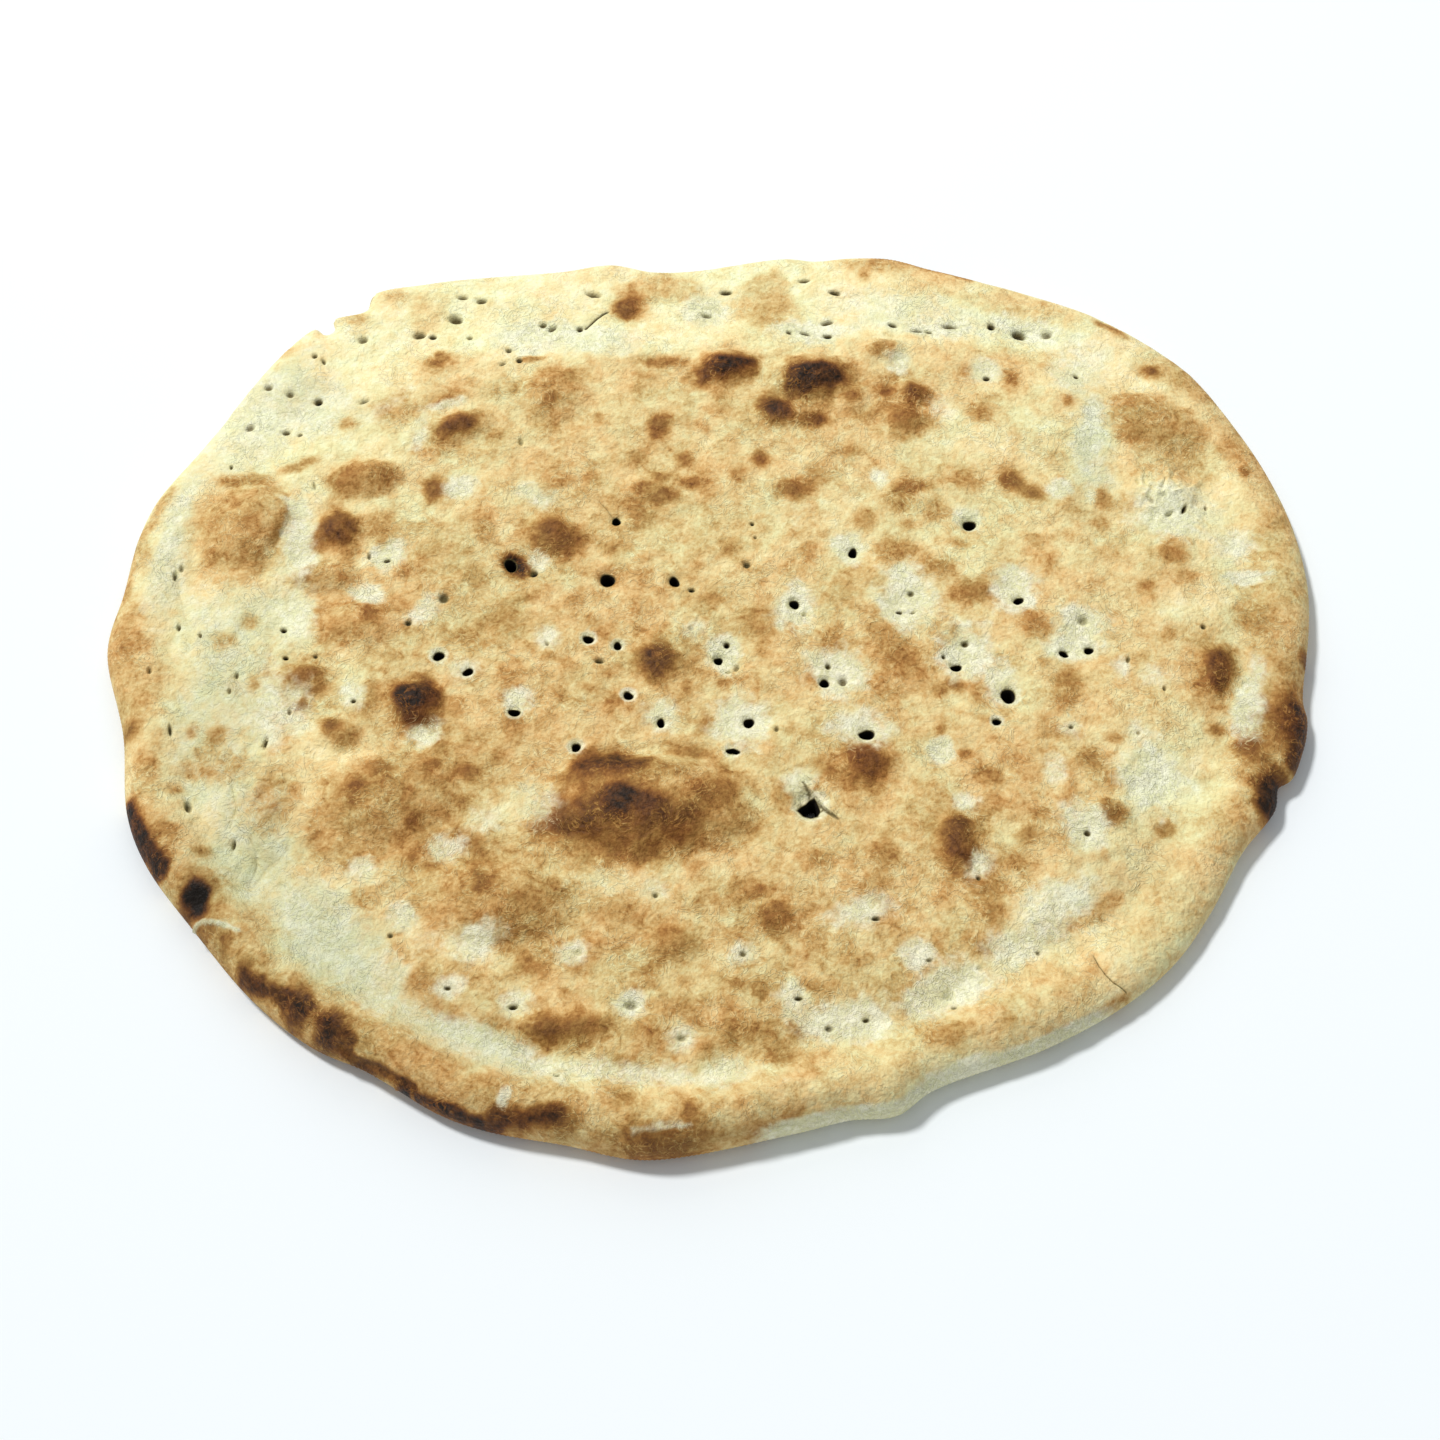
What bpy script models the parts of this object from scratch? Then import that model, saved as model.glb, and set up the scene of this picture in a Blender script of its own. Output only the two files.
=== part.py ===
"""Cheese tamees: one large oval flatbread with a raised near rim, blisters and docking holes.

Built in metres with +Z up. The origin is at the middle of the box under the bread, +X runs
the long way and -Y is the side with the thick rim. Sizes in the lists below are millimetres.
"""
import math

import bpy
import numpy as np
from mathutils import Vector, noise
from mathutils.geometry import delaunay_2d_cdt

MM = 0.001

# Overall size of the loaf in plan
LENGTH = 0.410
WIDTH = 0.353

# Heights above the surface that it rests on, millimetres
BODY_H = 14.5
BAND_H = 10.0
EDGE_H = 5.0
RIM_H = 4.0
VALLEY_H = 2.4
BAND_DROP = 2.0
LONG_WAVE_H = 1.5
SHORT_WAVE_H = 0.9

# Distances in from the edge, millimetres
TOP_ROUND = 7.0
UNDER_ROUND = 8.0
RIM_IN = 10.5
RIM_SPREAD = 7.5
VALLEY_IN = 23.0
VALLEY_SPREAD = 7.5
BAND_FROM = 20.0
BAND_TO = 47.0

# The underside touches down near the edge and arches a little in the middle
ARCH_H = 3.6
ARCH_FROM = 42.0
ARCH_TO = 115.0
UNDER_WAVE_H = 1.3
UNDER_SINK = 0.9

# Places in the lists lie on this level, and their marks are on the crust where a line from the
# sight point, millimetres, through that place meets it
READ_H = 7.0
SIGHT = (2.75, -448.21, 743.1)

# How much of the raised rim there is, by bearing in degrees from +X
RIM_SHARE = [(0, 0.45), (40, 0.15), (80, 0.0), (140, 0.0), (175, 0.35), (205, 0.75), (235, 1.0),
             (275, 1.0), (295, 0.75), (312, 0.45), (330, 0.32), (345, 0.4)]

# Mesh spacing, millimetres
EDGE_STEP = 6.0
TOP_STEP = 6.5
UNDER_STEP = 12.5
ROUND_STEPS = 3

# The edge in plan, anticlockwise from the right: lobes, dips, a small bite and a step
EDGE = [
    (204.5, 32), (201, 60), (189, 93), (169, 125), (142, 147), (112, 160.8), (98, 165.3), (80, 171.3),
    (66, 176), (50, 176.6), (38, 175.3), (27, 176.5), (-8, 170.4), (-22, 170), (-38, 173.5),
    (-55, 170.2), (-80, 167.8), (-105, 164.4), (-125, 159.3), (-127.5, 151.5), (-139, 147.3),
    (-138.3, 142.5), (-141.5, 140), (-145, 143), (-158, 129), (-180.5, 90), (-195.5, 64),
    (-199.8, 48), (-202, 28), (-204.8, 4), (-195.8, -28), (-190.8, -59), (-182.5, -77),
    (-166, -98.5), (-143, -125), (-124, -139.8), (-106, -148), (-84, -161.5), (-69, -167),
    (-45, -171.5), (-20, -176.3), (25, -168), (42, -163.6), (57, -162), (68, -154), (105, -139.5),
    (131, -124.5), (147, -110.5), (160, -92.5), (172, -71.5), (183.5, -57), (186, -48), (191, -44.5),
    (198.3, -23.5), (197.6, -16), (203, 14),
]

# Blisters: middle x and y, half length, half width, turn in degrees, height
BLISTERS = [
    (-20, -53, 36, 21, -4, 7.5), (-70, -89, 27, 16, -8, 5.2), (-107, -50, 25, 19, 5, 5.0),
    (-163, 58, 17, 20, 0, 4.4), (-122, 76, 14, 9, 0, 3.0), (-130, 54, 10, 9, 0, 2.8),
    (-133, 34, 12, 7, 0, 2.2), (-120, 15, 14, 10, -10, 2.4), (-90, 98, 13, 8, 18, 3.2),
    (-57, 112, 14, 13, 0, 2.6), (5, 125, 13, 9, 5, 4.0), (36, 121, 17, 12, 8, 4.4),
    (26, 104, 12, 7, 0, 2.4), (62, 133, 9, 6, 20, 2.2), (72, 113, 8, 7, 0, 2.4),
    (69, 102, 8, 7, 0, 2.0), (50, 111, 8, 7, 0, 2.0), (159, 71, 15, 12, 0, 2.4),
    (158, 100, 20, 12, -35, 2.6), (-138, -7, 10, 7, 10, 2.4), (-125, -28, 9, 8, 0, 2.0),
    (-100, -16, 11, 10, 0, 2.8), (-55, 52, 12, 10, -20, 2.0), (-19, 68, 14, 12, 0, 1.8),
    (-18, 2, 11, 12, 0, 2.2), (52, -38, 10, 9, 0, 2.2), (80, -68, 8, 13, 0, 2.4),
    (130, -57, 8, 7, 0, 2.0), (171, -4, 8, 13, -15, 2.6), (-45, -133, 16, 7, 4, 2.2),
    (-12, -105, 10, 8, 0, 1.8), (21, -95, 9, 8, 0, 1.8),
]

# Hollows pressed or sunk in the crust: middle x and y, radius, depth
HOLLOWS = [
    (-164, -90, 8, 4.2), (32, -54, 8, 3.0), (42, -6, 10, 1.8), (66, 23, 10, 1.8), (30, 20, 9, 1.6),
    (49, 45, 8, 1.6), (90, 56, 9, 1.6), (104, 28, 9, 1.6), (123, 5, 11, 1.8), (126, 16, 7, 1.2),
    (98, -13, 9, 1.8), (50, -27, 9, 1.8), (14, -24, 10, 1.6), (5, 1, 9, 1.6), (84, 1, 9, 1.5),
    (76, -36, 7, 1.4), (146, -46, 12, 2.0), (122, -65, 10, 1.8), (-96, -28, 8, 1.8),
    (-66, 38, 8, 2.0), (-35, 32, 6, 1.2), (-87, 68, 8, 1.4), (-116, 44, 8, 1.6),
    (-148, 20, 12, 1.6), (-60, 137, 18, 1.8), (0, 146, 14, 1.6), (40, 143, 14, 1.6),
    (75, 143, 14, 1.6), (116, 140, 11, 1.6), (98, 122, 8, 1.4), (-141, 110, 10, 1.4),
    (-94, 148, 9, 1.4), (48, -131, 13, 1.8), (76, -123, 12, 1.8), (100, -108, 12, 1.8),
    (-62, -126, 8, 1.6), (-24, -126, 7, 1.4), (-9, -137, 7, 1.4), (4, -149, 10, 1.4),
    (-146, -80, 12, 2.0),
]

# Docking holes that go right through: middle x and y, diameter
HOLES = [
    (-36, 32.5, 4.6), (-13, 32, 3.8), (-69, 39, 4.6), (-34, 57, 3.4), (48.5, 44, 3.6),
    (90, 55.5, 4.6), (105, 24.5, 3.6), (28.5, 23, 3.2), (-42, 8.5, 3.6), (-32, 6, 3.2),
    (2, 0, 3.2), (-92.5, 2, 3.8), (-82, -4.3, 3.6), (-66, -20, 3.8), (-28, -13.5, 3.2),
    (-17, -24, 3.2), (-45, -33.5, 3.6), (38, -8.5, 3.2), (82.5, -2.3, 3.6), (127.5, 4.3, 3.2),
    (119, 3, 3.2), (99, -13.7, 5.2), (51.5, -28.5, 5.0), (12.3, -24, 3.4), (7, -36, 3.6),
    (33, -56, 5.6),
]
HOLE_SIDES = 8
HOLE_REACH = 60.0


def smooth(low, high, value):
    """A step from 0 at low to 1 at high with level ends."""
    t = np.clip((value - low) / (high - low), 0.0, 1.0)
    return t * t * (3.0 - 2.0 * t)


def waves(x, y, size, seed):
    """Smooth noise between about -1 and 1 whose swells are size millimetres apart."""
    return np.array([noise.noise(Vector((a / size, b / size, seed))) for a, b in zip(x, y)])


def closed_curve(points, step):
    """Points about step apart on a smooth closed curve through the given points."""
    knots = [Vector(p) for p in points]
    count = len(knots)
    line = []
    for i in range(count):
        p0, p1, p2, p3 = (knots[(i + k) % count] for k in (-1, 0, 1, 2))
        t1 = math.sqrt((p1 - p0).length)
        t2 = t1 + math.sqrt((p2 - p1).length)
        t3 = t2 + math.sqrt((p3 - p2).length)
        parts = max(8, int((p2 - p1).length * 2))
        for k in range(parts):
            t = t1 + (t2 - t1) * k / parts
            a = p0.lerp(p1, t / t1)
            b = p1.lerp(p2, (t - t1) / (t2 - t1))
            c = p2.lerp(p3, (t - t2) / (t3 - t2))
            line.append(a.lerp(b, t / t2).lerp(b.lerp(c, (t - t1) / (t3 - t1)), (t - t1) / (t2 - t1)))
    line = np.array(line)
    gaps = np.linalg.norm(np.roll(line, -1, 0) - line, axis=1)
    along = np.concatenate([[0.0], np.cumsum(gaps)])
    shut = np.vstack([line, line[:1]])
    where = np.linspace(0.0, along[-1], int(round(along[-1] / step)), endpoint=False)
    return np.stack([np.interp(where, along, shut[:, k]) for k in (0, 1)], axis=1)


def edge_curve(step):
    """The loaf's edge in plan, fitted to its length and width about the origin."""
    curve = closed_curve(EDGE, step)
    low, high = curve.min(0), curve.max(0)
    size = np.array([LENGTH, WIDTH]) / MM
    return (curve - (low + high) / 2.0) * size / (high - low)


def distance_in(x, y, edge):
    """How far each point lies from the edge."""
    nearest = np.full(len(x), np.inf)
    for a, b in zip(edge, np.roll(edge, -1, 0)):
        run = b - a
        t = np.clip(((x - a[0]) * run[0] + (y - a[1]) * run[1]) / (run @ run), 0.0, 1.0)
        nearest = np.minimum(nearest, np.hypot(x - a[0] - t * run[0], y - a[1] - t * run[1]))
    return nearest


def is_inside(x, y, edge):
    """True for each point within the edge."""
    inside = np.zeros(len(x), bool)
    for a, b in zip(edge, np.roll(edge, -1, 0)):
        if a[1] == b[1]:
            continue
        crosses = (a[1] > y) != (b[1] > y)
        inside ^= crosses & (x < a[0] + (y - a[1]) * (b[0] - a[0]) / (b[1] - a[1]))
    return inside


def rim_share(x, y):
    """How much of the raised rim there is in each point's direction."""
    bearing = np.degrees(np.arctan2(y, x)) % 360.0
    return np.interp(bearing, [b for b, _ in RIM_SHARE], [s for _, s in RIM_SHARE], period=360.0)


def blister(x, y, cx, cy, half_length, half_width, turn, height):
    """A dome that is steeper on its far side than on its near side."""
    c, s = math.cos(math.radians(turn)), math.sin(math.radians(turn))
    u = ((x - cx) * c + (y - cy) * s) / half_length
    v = (-(x - cx) * s + (y - cy) * c) / half_width
    v = np.where(v > 0.25, v + 0.5 * (v - 0.25) ** 2, v)
    reach = np.clip(1.0 - u * u - v * v, 0.0, None)
    return height * reach ** 1.1


def rounded(inset, radius):
    """A quarter round: 0 at the edge, 1 from radius inwards."""
    t = np.clip(inset / radius, 0.0, 1.0)
    return np.sqrt(1.0 - (1.0 - t) ** 2)


class Crust:
    """The upper crust inside an edge, with its blisters and hollows in place."""

    def __init__(self, edge):
        self.edge = edge
        self.blisters, self.hollows = [], []
        blisters, hollows = self.placed(BLISTERS), self.placed(HOLLOWS)
        self.blisters, self.hollows = blisters, hollows

    def placed(self, marks):
        """The marks with their places moved along the sight lines to the crust."""
        read = np.array([mark[:2] for mark in marks], float)
        at = read
        for _ in range(4):
            lean = (self.height(at[:, 0], at[:, 1]) - READ_H) / (SIGHT[2] - READ_H)
            at = read + (np.array(SIGHT[:2]) - read) * lean[:, None]
        return [(x, y, *mark[2:]) for (x, y), mark in zip(at, marks)]

    def height(self, x, y, inset=None):
        """Height of the upper crust, which rounds over at the edge."""
        if inset is None:
            inset = distance_in(x, y, self.edge)
        rim = rim_share(x, y)
        level = BAND_H + (BODY_H - BAND_H) * smooth(BAND_FROM, BAND_TO, inset)
        level += (BODY_H - level) * rim
        level += rim * RIM_H * np.exp(-((inset - RIM_IN) / RIM_SPREAD) ** 2)
        level -= rim * VALLEY_H * np.exp(-((inset - VALLEY_IN) / VALLEY_SPREAD) ** 2)
        level -= (1.0 - rim) * BAND_DROP * (1.0 - smooth(0.0, BAND_FROM, inset))
        level += LONG_WAVE_H * waves(x, y, 52.0, 3.1) + SHORT_WAVE_H * waves(x, y, 21.0, 7.7)
        for shape in self.blisters:
            level += blister(x, y, *shape)
        for cx, cy, radius, depth in self.hollows:
            level -= depth * np.exp(-((x - cx) ** 2 + (y - cy) ** 2) / (0.7 * radius) ** 2)
        return EDGE_H + (level - EDGE_H) * rounded(inset, TOP_ROUND)


def under_height(x, y, inset):
    """Height of the underside before it rounds up at the edge; 0 where it touches down."""
    arch = ARCH_H * smooth(ARCH_FROM, ARCH_TO, inset)
    return np.clip(arch + UNDER_WAVE_H * waves(x, y, 34.0, 11.3) - UNDER_SINK, 0.0, None)


def under_surface(x, y, inset):
    return EDGE_H - (EDGE_H - under_height(x, y, inset)) * rounded(inset, UNDER_ROUND)


def inner_points(edge, fine_edge, round_width, step):
    """Points inside the edge: rings where it rounds over, then an even triangular grid."""
    ahead = np.roll(edge, -1, 0) - np.roll(edge, 1, 0)
    inward = np.stack([-ahead[:, 1], ahead[:, 0]], 1) / np.linalg.norm(ahead, axis=1)[:, None]
    rings = []
    for k in range(1, ROUND_STEPS + 1):
        inset = round_width * (1.0 - math.cos(0.5 * math.pi * k / ROUND_STEPS))
        ring = edge + inset * inward
        if k % 2:
            ring = (ring + np.roll(ring, -1, 0)) / 2.0
        clear = distance_in(ring[:, 0], ring[:, 1], fine_edge) > 0.93 * inset
        rings.append(ring[clear & is_inside(ring[:, 0], ring[:, 1], fine_edge)])
    low, high = edge.min(0), edge.max(0)
    grid = []
    row_gap = step * math.sqrt(3.0) / 2.0
    for row in range(int((high[1] - low[1]) / row_gap) + 1):
        y = low[1] + row * row_gap
        shift = 0.5 * step * (row % 2)
        grid += [(x, y) for x in np.arange(low[0] + shift, high[0], step)]
    grid = np.array(grid)
    inside = is_inside(grid[:, 0], grid[:, 1], fine_edge)
    deep = distance_in(grid[:, 0], grid[:, 1], fine_edge) > round_width + 0.55 * step
    return np.vstack(rings + [grid[inside & deep]])


def skin(edge, inner):
    """Triangles over the edge and inner points, counted in the order edge, then inner."""
    points = [Vector(p) for p in np.vstack([edge, inner])]
    loop = [(i, (i + 1) % len(edge)) for i in range(len(edge))]
    _, _, faces, origins, _, _ = delaunay_2d_cdt(points, loop, [], 1, 1e-6)
    return [[origins[i][0] for i in face] for face in faces]


def bread_mesh(crust):
    """The closed loaf: an upper and an under skin that share the edge loop."""
    fine_edge = crust.edge
    edge = edge_curve(EDGE_STEP)
    top = inner_points(edge, fine_edge, TOP_ROUND, TOP_STEP)
    under = inner_points(edge, fine_edge, UNDER_ROUND, UNDER_STEP)
    count = len(edge)

    top_z = crust.height(top[:, 0], top[:, 1])
    under_z = under_surface(under[:, 0], under[:, 1],
                            distance_in(under[:, 0], under[:, 1], fine_edge))
    points = np.vstack([
        np.column_stack([edge, np.full(count, EDGE_H)]),
        np.column_stack([top, top_z]),
        np.column_stack([under, under_z]),
    ]) * MM

    faces = skin(edge, top)
    offset = len(top)
    for face in skin(edge, under):
        faces.append([i if i < count else i + offset for i in reversed(face)])
    mesh = bpy.data.meshes.new("bread")
    mesh.from_pydata([tuple(p) for p in points], [], faces)
    mesh.validate()
    mesh.shade_smooth()
    mesh.set_sharp_from_angle(angle=math.radians(50))
    return mesh


def baked_crust():
    """Golden baked dough."""
    material = bpy.data.materials.new("baked_crust")
    material.use_nodes = True
    shader = material.node_tree.nodes["Principled BSDF"]
    shader.inputs["Base Color"].default_value = (0.70, 0.47, 0.22, 1.0)
    shader.inputs["Roughness"].default_value = 0.72
    shader.inputs["Metallic"].default_value = 0.0
    return material


def hole_cutters(crust):
    """One prism for each docking hole, in a collection that the loaf is cut by."""
    cutters = bpy.data.collections.new("hole_cutters")
    bpy.context.scene.collection.children.link(cutters)
    for number, (x, y, diameter) in enumerate(crust.placed(HOLES)):
        bpy.ops.mesh.primitive_cylinder_add(vertices=HOLE_SIDES, radius=0.5 * diameter * MM,
                                            depth=HOLE_REACH * MM)
        cutter = bpy.context.object
        cutter.name = "hole_cutter_%02d" % number
        cutter.location = (x * MM, y * MM, 0.5 * BODY_H * MM)
        cutter.rotation_euler.z = math.radians(17.0 * number)
        cutter.hide_render = True
        cutter.display_type = "WIRE"
        for owner in list(cutter.users_collection):
            owner.objects.unlink(cutter)
        cutters.objects.link(cutter)
    return cutters


def main():
    for old in list(bpy.data.objects):
        bpy.data.objects.remove(old, do_unlink=True)
    crust = Crust(edge_curve(1.5))
    bread = bpy.data.objects.new("bread", bread_mesh(crust))
    bpy.context.scene.collection.objects.link(bread)
    bread.data.materials.append(baked_crust())
    cut = bread.modifiers.new("docking_holes", "BOOLEAN")
    cut.operation = "DIFFERENCE"
    cut.operand_type = "COLLECTION"
    cut.collection = hole_cutters(crust)


main()
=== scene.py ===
"""Looks of the large oval flatbread: its fine relief, docking holes, browning and finish.

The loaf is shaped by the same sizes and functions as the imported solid, on a finer mesh. Its
lists are millimetres; the scene itself is in metres.
"""
import math

import bpy
import numpy as np
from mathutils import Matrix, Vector, kdtree, noise
from mathutils.geometry import delaunay_2d_cdt


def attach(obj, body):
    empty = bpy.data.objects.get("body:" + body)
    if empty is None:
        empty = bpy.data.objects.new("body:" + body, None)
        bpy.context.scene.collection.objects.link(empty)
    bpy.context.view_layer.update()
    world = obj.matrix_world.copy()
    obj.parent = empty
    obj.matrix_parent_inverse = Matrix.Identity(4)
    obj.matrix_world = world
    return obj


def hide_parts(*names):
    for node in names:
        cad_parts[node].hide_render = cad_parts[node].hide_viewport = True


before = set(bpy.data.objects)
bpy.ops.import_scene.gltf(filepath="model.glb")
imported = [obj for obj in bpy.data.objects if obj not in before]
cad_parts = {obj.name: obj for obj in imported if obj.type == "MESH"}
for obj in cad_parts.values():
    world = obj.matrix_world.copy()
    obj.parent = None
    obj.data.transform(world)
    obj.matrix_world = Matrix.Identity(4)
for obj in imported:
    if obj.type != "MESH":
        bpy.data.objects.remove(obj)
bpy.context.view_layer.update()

MM = 0.001

# Overall size of the loaf in plan
LENGTH = 0.410
WIDTH = 0.353

# Heights above the surface that it rests on, millimetres
BODY_H = 14.5
BAND_H = 10.0
EDGE_H = 5.0
RIM_H = 4.0
VALLEY_H = 2.4
BAND_DROP = 2.0
LONG_WAVE_H = 1.5
SHORT_WAVE_H = 0.9

# Distances in from the edge, millimetres
TOP_ROUND = 7.0
UNDER_ROUND = 8.0
RIM_IN = 10.5
RIM_SPREAD = 7.5
VALLEY_IN = 23.0
VALLEY_SPREAD = 7.5
BAND_FROM = 20.0
BAND_TO = 47.0

# The crust's long and short swells: height, spacing, seed
BODY_WAVES = [(LONG_WAVE_H, 52.0, 3.1), (SHORT_WAVE_H, 21.0, 7.7)]

# The underside touches down near the edge and arches a little in the middle
ARCH_H = 3.6
ARCH_FROM = 42.0
ARCH_TO = 115.0
UNDER_WAVE_H = 1.3
UNDER_SINK = 0.9
# Its broad swells and its grain: height, spacing, seed
UNDER_WAVES = [(UNDER_WAVE_H, 34.0, 11.3)]
UNDER_GRAIN = [(0.35, 9.0, 71.0)]
# The grain grows to its full height between these distances in from the edge
UNDER_GRAIN_IN = (2.0, 9.0)

# Places in the lists lie on this level, and their marks are on the crust where a line from the
# sight point, millimetres, through that place meets it
READ_H = 7.0
SIGHT = (2.75, -448.21, 743.1)
# How many times a mark's place is moved nearer to where its line meets the crust
SIGHT_STEPS = 4

# How much of the raised rim there is, by bearing in degrees from +X
RIM_SHARE = [(0, 0.45), (40, 0.15), (80, 0.0), (140, 0.0), (175, 0.35), (205, 0.75), (235, 1.0),
             (275, 1.0), (295, 0.75), (312, 0.45), (330, 0.32), (345, 0.4)]

# Mesh spacing, millimetres
EDGE_STEP = 1.5
TOP_STEP = 1.45
UNDER_STEP = 3.4
LINE_STEP = 0.7
TOP_RINGS = 8
UNDER_RINGS = 5
# Points between two corners of the edge: at least this many, or this many a millimetre
CURVE_PARTS = 8
CURVE_PARTS_PER_MM = 2
# The share of its distance in that a ring's point keeps from the whole edge, and how many
# steps the grid keeps off the last ring
RING_CLEAR = 0.93
GRID_CLEAR = 0.55
# Extra rings round the holes, by share of the radius, and in the pits, with their counts
HOLE_RINGS = (1.28, 1.65, 2.2)
UNDER_HOLE_GROW = 1.7
PIT_RINGS = [(6, 0.4), (10, 0.75), (14, 1.1), (16, 1.55)]
# How far each group's points stay from those of the groups before it
HOLE_GAP = 0.35
LINE_GAP = 0.45
PIT_GAP = 0.42
RING_GAP = 0.2
GRID_GAP = 0.85
UNDER_HOLE_GAP = 0.5
UNDER_GRID_GAP = 1.4
# The triangulation fills the outline alone and joins points that are nearer than this
INSIDE_ONLY = 1
MERGE_UNDER = 1e-6
# Degrees between two faces from which their common side is shown sharp
SHARP_ANGLE = 60.0

# The finest relief: height, spacing of its swells, seed
GRAIN = [(0.42, 7.0, 21.0), (0.28, 3.6, 33.0)]
# It grows to its full height over this distance in from the edge
GRAIN_IN = 3.0

# The edge in plan, anticlockwise from the right: lobes, dips, a small bite and a step
EDGE = [
    (204.5, 32), (201, 60), (189, 93), (169, 125), (142, 147), (112, 160.8), (98, 165.3), (80, 171.3),
    (66, 176), (50, 176.6), (38, 175.3), (27, 176.5), (-8, 170.4), (-22, 170), (-38, 173.5),
    (-55, 170.2), (-80, 167.8), (-105, 164.4), (-125, 159.3), (-127.5, 151.5), (-139, 147.3),
    (-138.3, 142.5), (-141.5, 140), (-145, 143), (-158, 129), (-180.5, 90), (-195.5, 64),
    (-199.8, 48), (-202, 28), (-204.8, 4), (-195.8, -28), (-190.8, -59), (-182.5, -77),
    (-166, -98.5), (-143, -125), (-124, -139.8), (-106, -148), (-84, -161.5), (-69, -167),
    (-45, -171.5), (-20, -176.3), (25, -168), (42, -163.6), (57, -162), (68, -154), (105, -139.5),
    (131, -124.5), (147, -110.5), (160, -92.5), (172, -71.5), (183.5, -57), (186, -48), (191, -44.5),
    (198.3, -23.5), (197.6, -16), (203, 14),
]

# Blisters: middle x and y, half length, half width, turn in degrees, height
BLISTERS = [
    (-20, -53, 36, 21, -4, 7.5), (-70, -89, 27, 16, -8, 5.2), (-107, -50, 25, 19, 5, 5.0),
    (-163, 58, 17, 20, 0, 4.4), (-122, 76, 14, 9, 0, 3.0), (-130, 54, 10, 9, 0, 2.8),
    (-133, 34, 12, 7, 0, 2.2), (-120, 15, 14, 10, -10, 2.4), (-90, 98, 13, 8, 18, 3.2),
    (-57, 112, 14, 13, 0, 2.6), (5, 125, 13, 9, 5, 4.0), (36, 121, 17, 12, 8, 4.4),
    (26, 104, 12, 7, 0, 2.4), (62, 133, 9, 6, 20, 2.2), (72, 113, 8, 7, 0, 2.4),
    (69, 102, 8, 7, 0, 2.0), (50, 111, 8, 7, 0, 2.0), (159, 71, 15, 12, 0, 2.4),
    (158, 100, 20, 12, -35, 2.6), (-138, -7, 10, 7, 10, 2.4), (-125, -28, 9, 8, 0, 2.0),
    (-100, -16, 11, 10, 0, 2.8), (-55, 52, 12, 10, -20, 2.0), (-19, 68, 14, 12, 0, 1.8),
    (-18, 2, 11, 12, 0, 2.2), (52, -38, 10, 9, 0, 2.2), (80, -68, 8, 13, 0, 2.4),
    (130, -57, 8, 7, 0, 2.0), (171, -4, 8, 13, -15, 2.6), (-45, -133, 16, 7, 4, 2.2),
    (-12, -105, 10, 8, 0, 1.8), (21, -95, 9, 8, 0, 1.8),
]
# From this share of its half width on, a blister's far side is steeper, and by how much
STEEP_FROM = 0.25
STEEPNESS = 0.5
# How round a blister's top is: 1 is a parabola
DOME_POWER = 1.1

# Hollows pressed or sunk in the crust: middle x and y, radius, depth
HOLLOWS = [
    (-164, -90, 8, 4.2), (32, -54, 8, 3.0), (42, -6, 10, 1.8), (66, 23, 10, 1.8), (30, 20, 9, 1.6),
    (49, 45, 8, 1.6), (90, 56, 9, 1.6), (104, 28, 9, 1.6), (123, 5, 11, 1.8), (126, 16, 7, 1.2),
    (98, -13, 9, 1.8), (50, -27, 9, 1.8), (14, -24, 10, 1.6), (5, 1, 9, 1.6), (84, 1, 9, 1.5),
    (76, -36, 7, 1.4), (146, -46, 12, 2.0), (122, -65, 10, 1.8), (-96, -28, 8, 1.8),
    (-66, 38, 8, 2.0), (-35, 32, 6, 1.2), (-87, 68, 8, 1.4), (-116, 44, 8, 1.6),
    (-148, 20, 12, 1.6), (-60, 137, 18, 1.8), (0, 146, 14, 1.6), (40, 143, 14, 1.6),
    (75, 143, 14, 1.6), (116, 140, 11, 1.6), (98, 122, 8, 1.4), (-141, 110, 10, 1.4),
    (-94, 148, 9, 1.4), (48, -131, 13, 1.8), (76, -123, 12, 1.8), (100, -108, 12, 1.8),
    (-62, -126, 8, 1.6), (-24, -126, 7, 1.4), (-9, -137, 7, 1.4), (4, -149, 10, 1.4),
    (-146, -80, 12, 2.0),
]
# How far a hollow spreads as a share of its radius
HOLLOW_SPREAD = 0.7

# Docking holes that go right through: middle x and y, width, length, turn in degrees
HOLES = [
    (-36, 32.5, 4.5, 4.8, 0), (-13, 32, 3.2, 4.5, 12), (-69.5, 38.5, 4.4, 4.8, 0),
    (-33.5, 57, 3.3, 3.2, 0), (48.7, 43.8, 2.7, 3.5, 0), (89.7, 55.5, 4.2, 3.8, 0),
    (105, 24.5, 3.2, 2.7, 20), (28.3, 22.8, 3, 3, 0), (-42, 8.7, 3.7, 3, 0),
    (-32, 6, 2.7, 2.9, 0), (2.3, 0.2, 3, 2.5, 0), (-92.5, 2, 3.8, 3.6, 0),
    (-82.3, -4.2, 3.5, 3, 20), (-66, -20, 3.8, 3.1, 0), (-28, -13.5, 3.2, 3, 0),
    (-17, -24, 2.6, 3.3, 0), (-45, -33.5, 3.2, 3.4, 0), (38, -8.5, 3.3, 3, 0),
    (82.5, -2.3, 3.6, 2.7, 12), (127.6, 4.3, 2.8, 2.6, 0), (119.3, 3, 3.1, 2.4, -15),
    (99.3, -13.7, 4.6, 5.3, 0), (95, -23.5, 3.3, 2.2, 10), (51.5, -28.5, 5.2, 3.2, -6),
    (12.3, -24, 3.2, 3.5, 0), (7, -35, 4.4, 2.2, -12),
]
HOLE_POINTS = 16
# How uneven a mouth is: share of the radius, number of lobes, their turn from hole to hole
HOLE_UNEVEN = [(0.09, 2, 1.0), (0.06, 3, 2.3)]
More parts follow.
